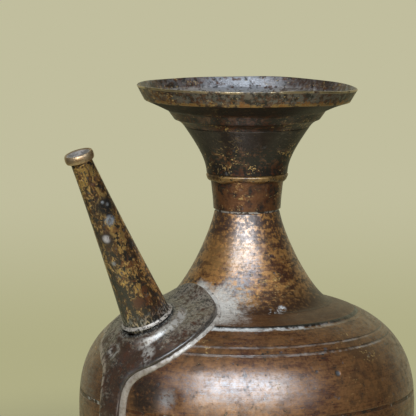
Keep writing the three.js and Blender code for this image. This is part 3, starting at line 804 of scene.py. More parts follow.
# Braze bead under the trumpet's edge: golden, run round the collar by hand, so it swells and thins.
# It is patchy, gold where it was rubbed and dark where dirt has stayed.
BEAD_HEIGHT = 3.2
BEAD_PROUD = 0.6
BEAD_WAVE = 0.35
bead_inner = COLLAR_TOP_RADIUS + BRAZE_GAP
bead_top = trumpet_foot - BRAZE_GAP
bead_outline = [
    (bead_inner, bead_top - BEAD_HEIGHT),
    ((bead_inner + TRUMPET_BASE_RADIUS) / 2 + BEAD_PROUD, bead_top - BEAD_HEIGHT * 0.75),
    (TRUMPET_BASE_RADIUS + BEAD_PROUD, bead_top - BEAD_HEIGHT * 0.25),
    (TRUMPET_BASE_RADIUS, bead_top),
    (bead_inner, bead_top),
]
finish = Finish("gold_braze", (0.1, 0.05, 0.022), 0.7, 0.5, 0.4)
bead_lumps = finish.noise(5, 41.0, 6.0)
bead_grain = finish.noise(1.6, 42.0, 4.0)
finish.lay(rising(bead_lumps * 0.6 + bead_grain * 0.4, 0.4, 0.54), (0.52, 0.3, 0.1), 0.8, 0.5)
finish.lay(rising(bead_grain, 0.55, 0.63), BLACK_PATINA, 0.4, 0.5)
finish.height = bead_lumps * 0.6 + bead_grain * 0.2
bead = turn("neck_bead", bead_outline, CASTING_CORNER, finish.done(), wander=0.9, size=9.0)
bead_spots = places(bead.data)
bead_angle = np.arctan2(bead_spots[:, 1], bead_spots[:, 0])
bead_share = np.clip((bead_top - bead_spots[:, 2] / MM) / BEAD_HEIGHT, 0, 1)
bead_spots[:, 2] += bead_share * (np.sin(3 * bead_angle + 2) + np.sin(7 * bead_angle)) * BEAD_WAVE * MM
replace_places(bead.data, bead_spots)
fix(bead, "neck_braze_bead")

# Neck trumpet: flares from the bead up to a spigot in the mouth.
# Cast and turned, nearly black, with clusters of golden flecks where the patina has chipped.
TRUMPET_TOP_RADIUS = 27.8
TRUMPET_HEIGHT = 20.5
TRUMPET_BASE_HANDLE = (0.2, 6)
TRUMPET_TOP_HANDLE = (-5.3, -7.6)
dish_foot = trumpet_foot + TRUMPET_HEIGHT
dish_socket = TRUMPET_TOP_RADIUS - SOCKET_WALL
dish_spigot = dish_socket - BRAZE_GAP
throat = dish_spigot - SPIGOT_WALL
trumpet_low = (TRUMPET_BASE_RADIUS, trumpet_foot)
trumpet_high = (TRUMPET_TOP_RADIUS, dish_foot)
trumpet_outer = bent(trumpet_low, TRUMPET_BASE_HANDLE, trumpet_high, TRUMPET_TOP_HANDLE)
trumpet_inner = [
    (max(min(radius, throat), trumpet_socket), height)
    for radius, height in moved(trumpet_outer, NECK_WALL)[-2:0:-1]
]
trumpet_outline = [
    *trumpet_outer,
    (dish_spigot, dish_foot),
    (dish_spigot, dish_foot + DISH_SPIGOT_LENGTH),
    (throat, dish_foot + DISH_SPIGOT_LENGTH),
    *trumpet_inner,
    (trumpet_socket, trumpet_foot),
]
finish = bronze(
    "trumpet_bronze", lean=1, drawn=0.2, ochre=0.57, gold=0.64, veins=0.535, black=0.43, gloss=0.5
)
# Painted shade: the trumpet is made darker towards its top, under the mouth's dish.
trumpet_shade_line = finish.z + finish.noise(6, 43.0, 4.0) * 10
painted_trumpet_shade = rising(trumpet_shade_line, trumpet_foot + 15, trumpet_foot + 20)
finish.lay(painted_trumpet_shade * 0.85, (0.03, 0.019, 0.014), 0.4, 0.5)
trumpet = turn("trumpet_casting", trumpet_outline, NECK_CORNER, finish.done())
fix(trumpet, "neck_trumpet")

# Mouth: one casting, a dish with an upright band over a stepped tier, socketed on the trumpet.
# The band is mottled grey and gold, its rim is worn bright, and one side of it has been knocked down.
DISH_WALL = 1.6
TIER_COVE_HEIGHT = 3.2
TIER_HEIGHT = 3.6
TIER_LOW_RADIUS = 32.2
TIER_TOP_RADIUS = 34.8
TIER_STEP = (0.8, 0.5)
TIER_COVE = (1.6, -0.8)
UNDERSIDE_HEIGHT = 5.5
BAND_LOW_RADIUS = 45.4
BAND_HEIGHT = 6.9
RIM_RADIUS = 48.8
RIM_WIDTH = 1.3
RIM_TILT = 1.2
RIM_WAVE = 0.4
RIM_DROP = 2.2
TILT_ANGLE = math.radians(50.25)
DROP_ANGLE = math.radians(-39.75)
COVE_STEPS = 10
tier = dish_foot + TIER_COVE_HEIGHT
underside = tier + TIER_HEIGHT
band_foot = underside + UNDERSIDE_HEIGHT
rim = band_foot + BAND_HEIGHT
dish_socket_top = dish_foot + DISH_SPIGOT_LENGTH + BRAZE_GAP
step_end = (TIER_TOP_RADIUS + TIER_STEP[0], underside + TIER_STEP[1])
cove_corner = (TRUMPET_TOP_RADIUS + TIER_COVE[0], tier + TIER_COVE[1])
dish_face = [
    *swept((TRUMPET_TOP_RADIUS, dish_foot), cove_corner, (TIER_LOW_RADIUS, tier), COVE_STEPS),
    (TIER_TOP_RADIUS, underside),
    step_end,
    (BAND_LOW_RADIUS, band_foot),
    (RIM_RADIUS, rim),
]
dish_outline = [
    (dish_socket, dish_foot),
    *dish_face,
    (RIM_RADIUS - RIM_WIDTH, rim),
    (BAND_LOW_RADIUS - RIM_WIDTH / 2, band_foot + DISH_WALL),
    (TIER_TOP_RADIUS, step_end[1] + DISH_WALL),
    (TIER_LOW_RADIUS - DISH_WALL, tier + DISH_WALL),
    (throat, dish_socket_top + DISH_WALL),
    (throat, dish_socket_top),
    (dish_socket, dish_socket_top),
]


def mark(piece, name, distance):
    """Keeps a distance, in millimetres, at every corner of a piece's mesh for its finish to read."""
    values = distance(places(piece.data) / MM)
    piece.data.attributes.new(name, "FLOAT", "POINT").data.foreach_set("value", values)


def inside_mouth(points):
    """How high points lie above the mouth's outer face."""
    face = np.array(dish_face)
    return points[:, 2] - np.interp(np.hypot(points[:, 0], points[:, 1]), face[:, 0], face[:, 1])


finish = bronze(
    "dish_bronze", lean=1, drawn=0.25, ochre=0.57, gold=0.6, veins=0.54, black=0.46, gloss=0.5
)
rim_patches = finish.noise(5, 45.0, 6.0)
rim_specks = finish.noise(1.8, 46.0, 5.0)
inside = rising(finish.reading("inside_mouth"), 0.9, 1.5)
outside = 1 - inside
finish.gloss = finish.gloss + inside * 0.4
finish.lay(inside * rising(rim_specks, 0.42, 0.62) * 0.6, (0.34, 0.31, 0.3), 0.4, 0.45)
mouth_floor = inside * rising(finish.radius, 45.4, 44.4)
finish.lay(mouth_floor * rising(rim_specks, 0.38, 0.54) * 0.8, (0.6, 0.53, 0.48), 0.3, 0.5)
# A painted highlight: a pale bluish patch on the far inner wall, where the lamps would be mirrored.
painted_far_wall_highlight = inside * finish.spot((26.0, 36.0, 201.0), 24.0) * rising(rim_specks, 0.32, 0.52)
finish.lay(painted_far_wall_highlight * 0.85, (0.5, 0.5, 0.53), 0.4, 0.4, gloss=0.9)
# Painted shade: the inside is darkened on its far right, away from the painted highlight.
painted_inner_shade = inside * finish.spot((46.0, 6.0, 201.0), 22.0) * rising(rim_patches, 0.36, 0.54)
finish.lay(painted_inner_shade * 0.7, (0.05, 0.03, 0.02), 0.4, 0.5, gloss=0.4)
on_band = rising(finish.radius, BAND_LOW_RADIUS, BAND_LOW_RADIUS + 0.8) * outside
finish.lay(on_band * rising(rim_specks, 0.46, 0.58) * 0.6, (0.26, 0.235, 0.185), 0.5, 0.45)
# Painted shade: the dish's underside, between the tier and the band, is made near black and matt.
under = rising(finish.radius, TIER_TOP_RADIUS, TIER_TOP_RADIUS + 2)
under = under * rising(finish.radius, 45.2, 44.2) * outside
finish.lay(under * 0.85, BLACK_PATINA, 0.2, 0.7, gloss=0.0)
rim_edge = rising(finish.radius, RIM_RADIUS - 0.8, RIM_RADIUS - 0.4)
finish.lay(rim_edge * rising(rim_patches, 0.4, 0.5), (0.86, 0.66, 0.4), 1.0, 0.3, gloss=0.3)
band_edge = finish.band(finish.radius, BAND_LOW_RADIUS, 0.6) * outside
finish.lay(band_edge * rising(rim_patches, 0.46, 0.54), (0.6, 0.38, 0.14), 1.0, 0.4, gloss=0.3)
gold_teeth = rising(finish.radius + rim_specks * 5, 49.5, 48.0) * rising(rim_patches, 0.52, 0.58)
gold_teeth = gold_teeth * rising(finish.radius, BAND_LOW_RADIUS - 0.3, BAND_LOW_RADIUS)
finish.lay(gold_teeth * outside, OCHRE, 0.9, 0.45)
# Painted shade on the front of the tier, under the dish's overhang.
painted_tier_shade = finish.spot((4.0, -35.0, 191.0), 16.0) * outside
finish.lay(painted_tier_shade * 0.6, BLACK_PATINA, 0.3, 0.6, gloss=0.3)
dish = turn("mouth_casting", dish_outline, CASTING_CORNER, finish.done())
mark(dish, "inside_mouth", inside_mouth)
dish_spots = places(dish.data)
dish_angle = np.arctan2(dish_spots[:, 1], dish_spots[:, 0])
dish_radius = np.hypot(dish_spots[:, 0], dish_spots[:, 1]) / MM
dish_share = np.clip((dish_radius - TIER_TOP_RADIUS) / (RIM_RADIUS - TIER_TOP_RADIUS), 0, 1) ** 2
dish_fall = RIM_TILT * (1 + np.cos(dish_angle - TILT_ANGLE)) / 2
dish_fall += RIM_DROP * np.maximum(np.cos(dish_angle - DROP_ANGLE), 0) ** 3
dish_fall += RIM_WAVE * (2 + np.sin(5 * dish_angle + 1) + np.sin(8 * dish_angle)) / 4
dish_spots[:, 2] -= dish_share * dish_fall * MM
replace_places(dish.data, dish_spots)
fix(dish, "mouth_dish")

# Spout plate: a disc with a tail, hammered to lie over the shoulder and the neck's foot.
# Thick sheet metal with a soft edge and a low boss, mottled grey and brown, blackened round the spout.
FIT_GAP = 0.3
SPOUT_REACH = 53.6
SPOUT_TILT = math.radians(26.2)
SPOUT_STANDOFF = 5.0
SPOUT_ROOT_RADIUS = 10.8
SPOUT_WALL = 1.6
PLATE_HALF_WIDTH = 27.0
PLATE_HALF_HEIGHT = 26.8
PLATE_RISE = 2.8
PLATE_THICKNESS = 2.6
PLATE_EDGE_SHARE = 0.75
PLATE_EDGE_ROUND = 1.4
PLATE_BEND = 3.0
TAIL_HALF_WIDTH = 6.3
TAIL_END = EQUATOR - 14.0
TAIL_FILLET = 9.0
TAIL_TURN = (88.0, 74.0)
BOSS_RISE = 2.1
BOSS_TOP = 13.8
BOSS_FOOT = 16.0
HAMMERED = 0.35
# Each dent: its middle, reach and depth.
DENTS = (
    ((-54.6, -24.8, 100.4), 3.2, 0.8),
    ((-69.0, 6.9, 91.4), 3.0, 0.9),
    ((-66.3, -14.3, 93.3), 3.5, 0.6),
)
DISC_LOW = -20.0
DISC_ROWS = 72
TAIL_ROWS = 56
PLATE_COLUMNS = 72
CHARCOAL = (0.035, 0.031, 0.028)

pierced = np.array([-SPOUT_REACH, 0, shoulder_height(SPOUT_REACH)])
slope = math.atan(shoulder_height(SPOUT_REACH - 0.5) - shoulder_height(SPOUT_REACH + 0.5))
plate_up = np.array([math.cos(slope), 0, math.sin(slope)])
plate_out = np.array([-math.sin(slope), 0, math.cos(slope)])
spout_axis = np.array([-math.sin(SPOUT_TILT), 0, math.cos(SPOUT_TILT)])
spout_foot = pierced + spout_axis * SPOUT_STANDOFF


def joined(first, second, blend):
    """The smaller of two distances, with the corner between them filled."""
    mix = np.clip(0.5 + 0.5 * (second - first) / blend, 0, 1)
    return second + (first - second) * mix - blend * mix * (1 - mix)


def off_pot(points):
    """How far points lie outside the belly and the cone of the neck."""
    radius = np.hypot(points[..., 0], points[..., 1])
    height = points[..., 2] - EQUATOR
    power = np.where(height > 0, SHOULDER_POWER, BOWL_POWER)
    rise = np.where(height > 0, SHOULDER_RISE, BOWL_DEPTH)
    wide, tall = radius / BELLY_RADIUS, np.abs(height) / rise
    swell = wide**power + tall**power - 1
    steep = power * np.hypot(wide ** (power - 1) / BELLY_RADIUS, tall ** (power - 1) / rise)
    cone_side = np.interp(points[..., 2], cone_outer[:, 1], cone_outer[:, 0])
    return joined(swell / np.maximum(steep, 1e-4), (radius - cone_side) * 0.75, PLATE_BEND)


def off_plate(points):
    """How far points on the pot lie outside the plate's outline."""
    across, height = points[..., 1], points[..., 2]
    along = (points - pierced) @ plate_up - PLATE_RISE
    disc = np.hypot(across * PLATE_HALF_HEIGHT / PLATE_HALF_WIDTH, along) - PLATE_HALF_HEIGHT
    tail = np.hypot(across, np.minimum(height - TAIL_END - TAIL_HALF_WIDTH, 0)) - TAIL_HALF_WIDTH
    tail = np.maximum(tail, height - pierced[2])
    return np.where(points[..., 0] < 0, joined(disc, tail, TAIL_FILLET), BELLY_RADIUS)


def off_spout(points):
    """How far points lie from the spout's axis."""
    return np.linalg.norm(np.cross(points - spout_foot, spout_axis), axis=-1)


def edge_of(low, high, is_inside, rounds=40):
    """Where the inside ends, between low values that are inside and high ones that aren't."""
    for _ in range(rounds):
        middle = (low + high) / 2
        inside = is_inside(middle)
        low, high = np.where(inside, middle, low), np.where(inside, high, middle)
    return high


def dropped(starts, ways, depth=40.0):
    """Where lines that come in from outside, along ways, meet the pot."""
    low, high = np.full(starts.shape[:-1], -depth), np.full(starts.shape[:-1], depth / 2)
    reach = edge_of(low, high, lambda here: off_pot(starts + ways * here[..., None]) < 0)
    return starts + ways * reach[..., None]


def steepest(distance, points, step=0.05):
    """Unit vectors in which a distance grows fastest."""
    slopes = [distance(points + step * axis) - distance(points - step * axis) for axis in np.eye(3)]
    return unit(np.stack(slopes, -1))


def crowded(start, end, count):
    """Values from start to end that crowd together towards the start."""
    return start + (end - start) * (1 - np.cos(np.linspace(0, math.pi / 2, count)))


disc_rows = pierced + np.outer(crowded(PLATE_HALF_HEIGHT + PLATE_RISE, DISC_LOW, DISC_ROWS), plate_up)
disc_rows = dropped(disc_rows, np.broadcast_to(plate_out, disc_rows.shape))
tail_heights = crowded(TAIL_END, disc_rows[-1, 2], TAIL_ROWS)[-2::-1]
tail_rows = np.array([(-belly_radius(height), 0, height) for height in tail_heights])
spine = np.concatenate([disc_rows, tail_rows])
tail_share = eased(-spine[:, 2], -TAIL_TURN[0], -TAIL_TURN[1])[:, None]
ways = unit(plate_out * (1 - tail_share) + np.array([-1, 0, 0]) * tail_share)


def plate_places(across):
    """Places on the pot at distances across the plate, in every row of it."""
    starts = spine[:, None, :] + across[..., None] * np.array([0, 1, 0])
    return dropped(starts, np.broadcast_to(ways[:, None, :], starts.shape))


no_width = np.zeros((len(spine), 1))
too_wide = no_width + PLATE_HALF_WIDTH + 1
half = edge_of(no_width, too_wide, lambda width: off_plate(plate_places(width)) < 0)
half[0] = half[-1] = 0
even_share = np.linspace(-1, 1, PLATE_COLUMNS + 1)[None, :]
column_share = (even_share + np.sin(even_share * math.pi / 2)) / 2
bed = plate_places(half * column_share)
bed_out = steepest(off_pot, bed)
edge_share = np.minimum(np.maximum(-off_plate(bed), 0) / PLATE_EDGE_ROUND, 1)
thick = PLATE_THICKNESS * (PLATE_EDGE_SHARE + (1 - PLATE_EDGE_SHARE) * np.sqrt(1 - (1 - edge_share) ** 2))
thick += BOSS_RISE * eased(off_spout(bed), BOSS_FOOT, BOSS_TOP)
thick += HAMMERED * np.sin(bed[..., 1] * 0.42 + 1) * np.sin(bed[..., 2] * 0.38 + bed[..., 1] * 0.16)
for centre, reach, depth in DENTS:
    thick -= depth * eased(np.linalg.norm(bed - centre, axis=-1), reach + PLATE_THICKNESS, 0)
plate_top = bed + bed_out * (FIT_GAP + thick)[..., None]
plate_bed = bed + bed_out * FIT_GAP


def sheet_between(name, top, bottom, kept):
    """A closed sheet between two grids of points, with a hole where cells aren't kept."""
    number = np.arange(top.shape[0] * top.shape[1]).reshape(top.shape[:2])
    corners = [number[:-1, :-1], number[1:, :-1], number[1:, 1:], number[:-1, 1:]]
    cells = np.stack(corners, -1)[kept].tolist()
    sides = set()
    for cell in cells:
        for start, end in zip(cell, cell[1:] + cell[:1]):
            if (end, start) in sides:
                sides.remove((end, start))
            else:
                sides.add((start, end))
    faces = cells + [[corner + number.size for corner in reversed(cell)] for cell in cells]
    faces += [[end, start, start + number.size, end + number.size] for start, end in sorted(sides)]
    mesh = bpy.data.meshes.new(name)
    mesh.from_pydata(np.concatenate([top.reshape(-1, 3), bottom.reshape(-1, 3)]) * MM, [], faces)
    work = bmesh.new()
    work.from_mesh(mesh)
    bmesh.ops.remove_doubles(work, verts=work.verts, dist=SAME_PLACE)
    loose = [corner for corner in work.verts if not corner.link_faces]
    bmesh.ops.delete(work, geom=loose, context="VERTS")
    work.to_mesh(mesh)
    work.free()
    mesh.shade_smooth()
    face_outwards(mesh)
    return placed(name, mesh)


cell_middles = (bed[:-1, :-1] + bed[1:, 1:]) / 2
off_hole = off_spout(cell_middles) > SPOUT_ROOT_RADIUS - SPOUT_WALL / 2
plate = sheet_between("tailed_plate", plate_top, plate_bed, off_hole)
mark(plate, "off_plate", off_plate)
mark(plate, "off_spout", off_spout)
finish = Finish("plate_brown", (0.1, 0.052, 0.033), 0.4, 0.5, 0.5)
plate_clouds = finish.noise(9, 51.0, 6.0)
plate_grit = finish.noise(1.8, 52.0, 6.0)
plate_pits = finish.noise(0.9, 53.0, 3.0)
plate_rust = finish.noise(4, 54.0, 6.0)
root_away = finish.reading("off_spout")
edge_away = finish.reading("off_plate")
# The grey mottle is weighted towards the plate's top and its far side.
greyer_up_and_far = rising(finish.z, 90.0, 108.0) * 0.13 + rising(finish.y, -2.0, 12.0) * 0.06 - 0.05
grey_share = plate_clouds * 0.35 + plate_grit * 0.65 + greyer_up_and_far
finish.lay(rising(plate_rust, 0.5, 0.62) * 0.7, (0.15, 0.058, 0.03), 0.5, 0.5)
finish.lay(rising(grey_share, 0.46, 0.62) * 0.8, (0.41, 0.355, 0.275), 0.3, 0.5)
pitted = rising(plate_pits + (plate_clouds - 0.5) * 0.5, 0.5, 0.6) * 0.8
finish.lay(pitted, CHARCOAL, 0.3, 0.55)
finish.lay(rising(root_away + plate_grit * 3, 15.2, 13.2), CHARCOAL, 0.3, 0.7, gloss=0.3)
root_specks = rising(root_away, 15.0, 13.0) * rising(plate_pits, 0.54, 0.6)
finish.lay(root_specks, (0.3, 0.28, 0.24), 0.3, 0.6)
# A painted highlight: a pale band along the boss's outer edge on the camera's side.
painted_ridge_highlight = finish.band(root_away + (plate_clouds - 0.5) * 8, 15.4, 2.0)
painted_ridge_highlight = painted_ridge_highlight * rising(finish.y, -5.0, -12.0) * rising(plate_grit, 0.58, 0.46)
finish.lay(painted_ridge_highlight * 0.85, (0.62, 0.57, 0.5), 0.3, 0.5, 0.5)
low_blot = finish.spot((-68.8, -16.1, 89.6), 3.5) * 0.7
pale_blot = finish.spot((-66.3, -14.3, 93.3), 4.5).most(low_blot)
knock = (-69.0, 6.4, 91.5)
knock_ring = finish.spot(knock, 5.0) - finish.spot(knock, 3.0)
blots = pale_blot.most(knock_ring) * rising(plate_grit, 0.42, 0.56)
finish.lay(blots * 0.85, (0.58, 0.53, 0.47), 0.3, 0.5)
finish.lay(rising(edge_away + plate_grit * 2, 0.4, 1.2) * 0.6, CHARCOAL, 0.3, 0.6)
# A painted highlight: a pale line along the plate's far edge.
painted_far_edge_highlight = rising(edge_away, -1.6, -0.5) * rising(finish.y, 0.0, 4.0) * rising(plate_grit, 0.4, 0.52)
finish.lay(painted_far_edge_highlight, (0.55, 0.43, 0.32), 0.5, 0.5)
finish.height = plate_clouds * 0.5 + plate_grit * 0.35 + plate_pits * 0.15
plate.data.materials.append(finish.done())
fix(plate, "spout_plate")

# Solder round the plate: a bead laid along its edge, thick and smooth below, thin on the far side.
# Dull pale grey, smeared over the belly and the neck's foot where it was wiped.
SOLDER_STATIONS = 360
SOLDER_ROWS = 16
SOLDER_TUCK = 1.8


def laid_fillet_tree():
    """A low fillet along a closed path. Each point of the path keeps the fillet's span and rise there."""
    inputs = {"Path": "Geometry", "Rows": "Int", "Finish": "Material"}
    tree, given = new_tree("laid_fillet", inputs, "Fillet")
    index = add(tree, "GeometryNodeInputIndex")
    rows = given["Rows"] + 1
    stations = add(tree, "GeometryNodeAttributeDomainSize", {"component": "MESH"}, {0: given["Path"]})
    sheet = add(tree, "GeometryNodeMeshGrid", {}, {"Vertices X": stations + 1, "Vertices Y": rows})
    column = (index / rows).floor()
    angle = (index - column * rows) * math.tau / given["Rows"]
    station = column - (column / stations).floor() * stations

    def kept(name):
        settings = {"data_type": "FLOAT_VECTOR"}
        value = add(tree, "GeometryNodeInputNamedAttribute", settings, {"Name": name})
        return sampled_at(given["Path"], value, station)

    across = 0.5 - angle.math("COSINE", angle, 0.0) * 0.5
    arch = angle.math("SINE", angle, 0.0) * (1.3 - across * 0.6)
    place = sampled_at(given["Path"], add(tree, "GeometryNodeInputPosition"), station)
    for way, share in ((kept("span"), across), (kept("rise"), arch.most(arch * 0.4))):
        reach = vector_math(tree, "SCALE", {0: way, "Scale": share})
        place = vector_math(tree, "ADD", {0: place, 1: reach})
    fillet = add(tree, "GeometryNodeSetPosition", {}, {"Geometry": sheet, "Position": place})
    fillet = add(tree, "GeometryNodeMergeByDistance", {}, {"Geometry": fillet, "Distance": SAME_PLACE})
    return end_tree(tree, fillet, given["Finish"])


def laid_on_pot(points):
    """Points moved straight on to the pot."""
    return points - steepest(off_pot, points) * off_pot(points)[:, None]


edge_line = np.concatenate([bed[:, 0], bed[-2:0:-1, -1]])
edge_step = np.linalg.norm(np.diff(edge_line, axis=0, append=edge_line[:1]), axis=1)
edge_length = np.concatenate([[0], np.cumsum(edge_step)])
along_edge = np.linspace(0, edge_length[-1], SOLDER_STATIONS + 1)[:-1]
edge_line = np.stack(
    [np.interp(along_edge, edge_length, np.append(edge_line[:, k], edge_line[0, k])) for k in range(3)], 1
)
edge_up = steepest(off_pot, edge_line)
edge_out = steepest(off_plate, edge_line)
edge_out = unit(edge_out - edge_up * np.sum(edge_out * edge_up, axis=-1, keepdims=True))
near_side = eased(-edge_line[:, 1], -2, 6)
low_side = eased(edge_line[:, 2], 103, 94)
tail_side = eased(edge_line[:, 2], 92, 82)
lumps = np.sin(along_edge * 0.55) + np.sin(along_edge * 0.93 + 1) + np.sin(along_edge * 1.7 + 2)
lumps *= 1 - tail_side
solder_width = 0.6 + near_side * (1.0 + 0.9 * tail_side + 0.12 * lumps)
solder_height = (0.25 + 0.55 * low_side + 0.35 * tail_side) * (1 + 0.15 * lumps)
solder_height = 0.45 + near_side * solder_height
solder_near = laid_on_pot(edge_line - edge_out * SOLDER_TUCK)
solder_far = laid_on_pot(edge_line + edge_out * solder_width[:, None])
plate_solder = holder_of("plate_solder", solder_near * MM)
for name, vectors in (("span", solder_far - solder_near), ("rise", edge_up * solder_height[:, None])):
    kept_vectors = plate_solder.data.attributes.new(name, "FLOAT_VECTOR", "POINT")
    kept_vectors.data.foreach_set("vector", (vectors * MM).ravel())
finish = solder("plate_solder_grey")
roll = rising(finish.z, 96.0, 84.0)
finish.lay(roll * 0.55, (0.3, 0.24, 0.18), 0.2, 0.55)
wiped = rising(finish.noise(1.6, 33.0, 4.0), 0.62, 0.48)
wiped = wiped * rising(finish.z, 92.0, 98.0)
finish.lay(wiped * 0.85, DRIED_POLISH, 0.2, 0.5)
made_by(laid_fillet_tree(), plate_solder, {"Rows": SOLDER_ROWS, "Finish": finish.done()})
fix(plate_solder, "plate_solder_bead")
mark(shoulder, "off_plate", off_plate)
mark(cone, "off_plate", off_plate)

# Spout tube: straight and tapered, seated in the plate's boss.
# Drawn brass, mottled gold, black and rust along its length, and blackest by the plate.
SPOUT_LENGTH = 82.0
SPOUT_TIP_RADIUS = 4.7
SPOUT_TIP_BORE = 1.8
SPOUT_ROOT_HANDLE = (-2, 22)
SPOUT_TIP_HANDLE = (1.3, -26)
SPOUT_SOCKET_DEPTH = 2.0
SPOUT_SIDES = 96
SPOUT_CORNER = 0.3
LIP_HEIGHT = 3.6
LIP_SOCKET_DEPTH = 0.8

lip_foot = SPOUT_LENGTH - LIP_HEIGHT
tube_top = lip_foot - FIT_GAP
tip_end = lip_foot + LIP_SOCKET_DEPTH - FIT_GAP
tip_spigot = (SPOUT_TIP_RADIUS + SPOUT_TIP_BORE) / 2
tube_foot = FIT_GAP - SPOUT_SOCKET_DEPTH
tube_root = (SPOUT_ROOT_RADIUS, tube_foot)
tube_tip = (SPOUT_TIP_RADIUS, tube_top)
bore_root = (SPOUT_ROOT_RADIUS - SPOUT_WALL, tube_foot)
bore_tip = (SPOUT_TIP_BORE, tip_end)
tube_outer = bent(tube_root, SPOUT_ROOT_HANDLE, tube_tip, SPOUT_TIP_HANDLE, LONG_CURVE)
tube_inner = bent(bore_tip, SPOUT_TIP_HANDLE, bore_root, SPOUT_ROOT_HANDLE, LONG_CURVE)
tube_outline = [*tube_outer, (tip_spigot, tube_top), (tip_spigot, tip_end), *tube_inner]
spout_place = Matrix.Translation(Vector(spout_foot) * MM) @ Matrix.Rotation(-SPOUT_TILT, 4, "Y")


def on_spout(name, outline, finish, wander, size):
    """A casting turned on the spout's own axis."""
    piece = turn(name, outline, SPOUT_CORNER, finish, SPOUT_SIDES, wander, size)
    piece.data.transform(spout_place)
    return piece


# Each spot: its middle in the spout's own frame, its reach and its colour.
TUBE_SPOTS = (
    ((-1.0, -6.2, 57.2), 7.0, (0.018, 0.015, 0.014)),
    ((-2.0, -6.5, 50.8), 3.2, (0.36, 0.38, 0.41)),
    ((-1.6, -5.9, 59.4), 1.2, (0.36, 0.37, 0.38)),
    ((0.2, -6.2, 57.6), 1.2, (0.3, 0.31, 0.32)),
    ((-6.2, -4.0, 43.6), 5.5, (0.035, 0.013, 0.008)),
    ((-6.2, -4.0, 43.6), 2.5, (0.75, 0.68, 0.66)),
    ((-7.4, -3.8, 32.1), 1.6, (0.4, 0.4, 0.39)),
    ((-6.0, -7.4, 12.0), 3.6, (0.13, 0.042, 0.015)),
)
SPOUT_FRAME = {"Location": tuple(spout_foot * MM), "Rotation": (0, -SPOUT_TILT, 0)}
finish = Finish("spout_brass", (0.03, 0.021, 0.013), 0.5, 0.45, 0.5, SPOUT_FRAME)
along_tube = vector_math(finish.tree, "MULTIPLY", {0: finish.place, 1: (1, 1, 0.45)})
tube_clouds = finish.noise(8, 61.0, 4.0, along_tube)
tube_mottle = finish.noise(2.2, 62.0, 6.0, along_tube)
tube_grain = finish.noise(0.8, 63.0, 3.0, along_tube)
tube_rust = finish.noise(3.4, 64.0, 6.0)
tube_lumps = finish.noise(2.2, 65.0, 5.0)
tube_height = finish.z / SPOUT_LENGTH
gold_share = tube_mottle * 0.45 + tube_grain * 0.55 + (tube_clouds - 0.5) * 0.45
finish.lay(rising(gold_share, 0.4, 0.5), (0.24, 0.105, 0.03), 0.7, 0.45)
finish.lay(rising(gold_share, 0.485, 0.535), (1.0, 0.63, 0.21), 1.0, 0.38, 0.2)
finish.lay(rising(tube_rust - tube_height * 0.1, 0.49, 0.54) * 0.75, (0.2, 0.062, 0.018), 0.6, 0.5)
finish.lay(rising(tube_lumps * 0.6 + tube_grain * 0.4, 0.515, 0.56), BLACK_PATINA, 0.4, 0.45, -0.15)
blue_grey = rising(tube_lumps * 0.7 + tube_grain * 0.3, 0.42, 0.37) * 0.7
finish.lay(blue_grey, (0.17, 0.18, 0.19), 0.4, 0.45)
# Painted shade: the spout's outer, lower side, its left as the camera sees it, is made darker.
painted_left_shade = rising(finish.x, -4.5, -8.5) * rising(tube_mottle, 0.58, 0.44) * 0.8
finish.lay(painted_left_shade, (0.03, 0.026, 0.018), 0.4, 0.45)
root_soot = rising(tube_height + tube_mottle * 0.3, 0.3, 0.18) * rising(tube_grain, 0.58, 0.48)
finish.lay(root_soot, BLACK_PATINA, 0.4, 0.6)
root_dust = rising(finish.z, 8.0, 1.0) * rising(tube_grain, 0.5, 0.58)
finish.lay(root_dust * 0.8, (0.5, 0.46, 0.4), 0.3, 0.55)
for centre, reach, colour in TUBE_SPOTS:
    shown = finish.spot(centre, reach) * rising(tube_grain, 0.34, 0.46)
    finish.lay(shown, colour, 0.4, 0.45, 0.1)
finish.height = finish.height + tube_clouds * 0.2 + tube_mottle * 0.3 + tube_grain * 0.12
tube = on_spout("spout_casting", tube_outline, finish.done(), wander=0.25, size=14.0)
fix(tube, "spout_tube")

# Solder in the corner between spout and boss: a thin, broken, pale fillet.
# Dull grey, run in by hand, so its edge wanders, and dirty where it was never wiped.
ROOT_SOLDER_SIZE = 1.3
root_corner = SPOUT_ROOT_RADIUS + FIT_GAP
root_outline = [
    (root_corner, FIT_GAP),
    (root_corner + ROOT_SOLDER_SIZE, FIT_GAP),
    (root_corner + ROOT_SOLDER_SIZE / 3, FIT_GAP + ROOT_SOLDER_SIZE / 3),
    (root_corner, FIT_GAP + ROOT_SOLDER_SIZE),
]
finish = solder("root_solder_grey", dirt=0.5)
root_solder = on_spout("root_solder", root_outline, finish.done(), wander=1.1, size=3.0)
fix(root_solder, "spout_root_solder")

# Spout lip: a rounded ring with a dished face, pushed on the tube's spigot.
# Rubbed to bright copper gold round its side, and dull grey on its face.
LIP_RADIUS = 6.38
LIP_FLOOR = 0.4
LIP_DISH_RADIUS = 5.1
LIP_STEPS = 17
LIP_LEAN = (0.151, 0.04, 0.0)
lip_side = [
    (
        (LIP_RADIUS + LIP_DISH_RADIUS) / 2 + math.cos(angle) * (LIP_RADIUS - LIP_DISH_RADIUS) / 2,
        lip_foot + LIP_HEIGHT / 2 * (1 + math.sin(angle)),
    )
    for angle in np.linspace(-math.pi / 2, math.pi / 2, LIP_STEPS)
]
lip_outline = [
    (tip_spigot + FIT_GAP, lip_foot),
    *lip_side,
    (SPOUT_TIP_BORE, lip_foot + LIP_SOCKET_DEPTH + LIP_FLOOR),
    (SPOUT_TIP_BORE, lip_foot + LIP_SOCKET_DEPTH),
    (tip_spigot + FIT_GAP, lip_foot + LIP_SOCKET_DEPTH),
]
finish = Finish("lip_gold", (0.76, 0.54, 0.31), 0.9, 0.42, 0.3, SPOUT_FRAME)
lip_spots = finish.noise(2.0, 71.0, 5.0)
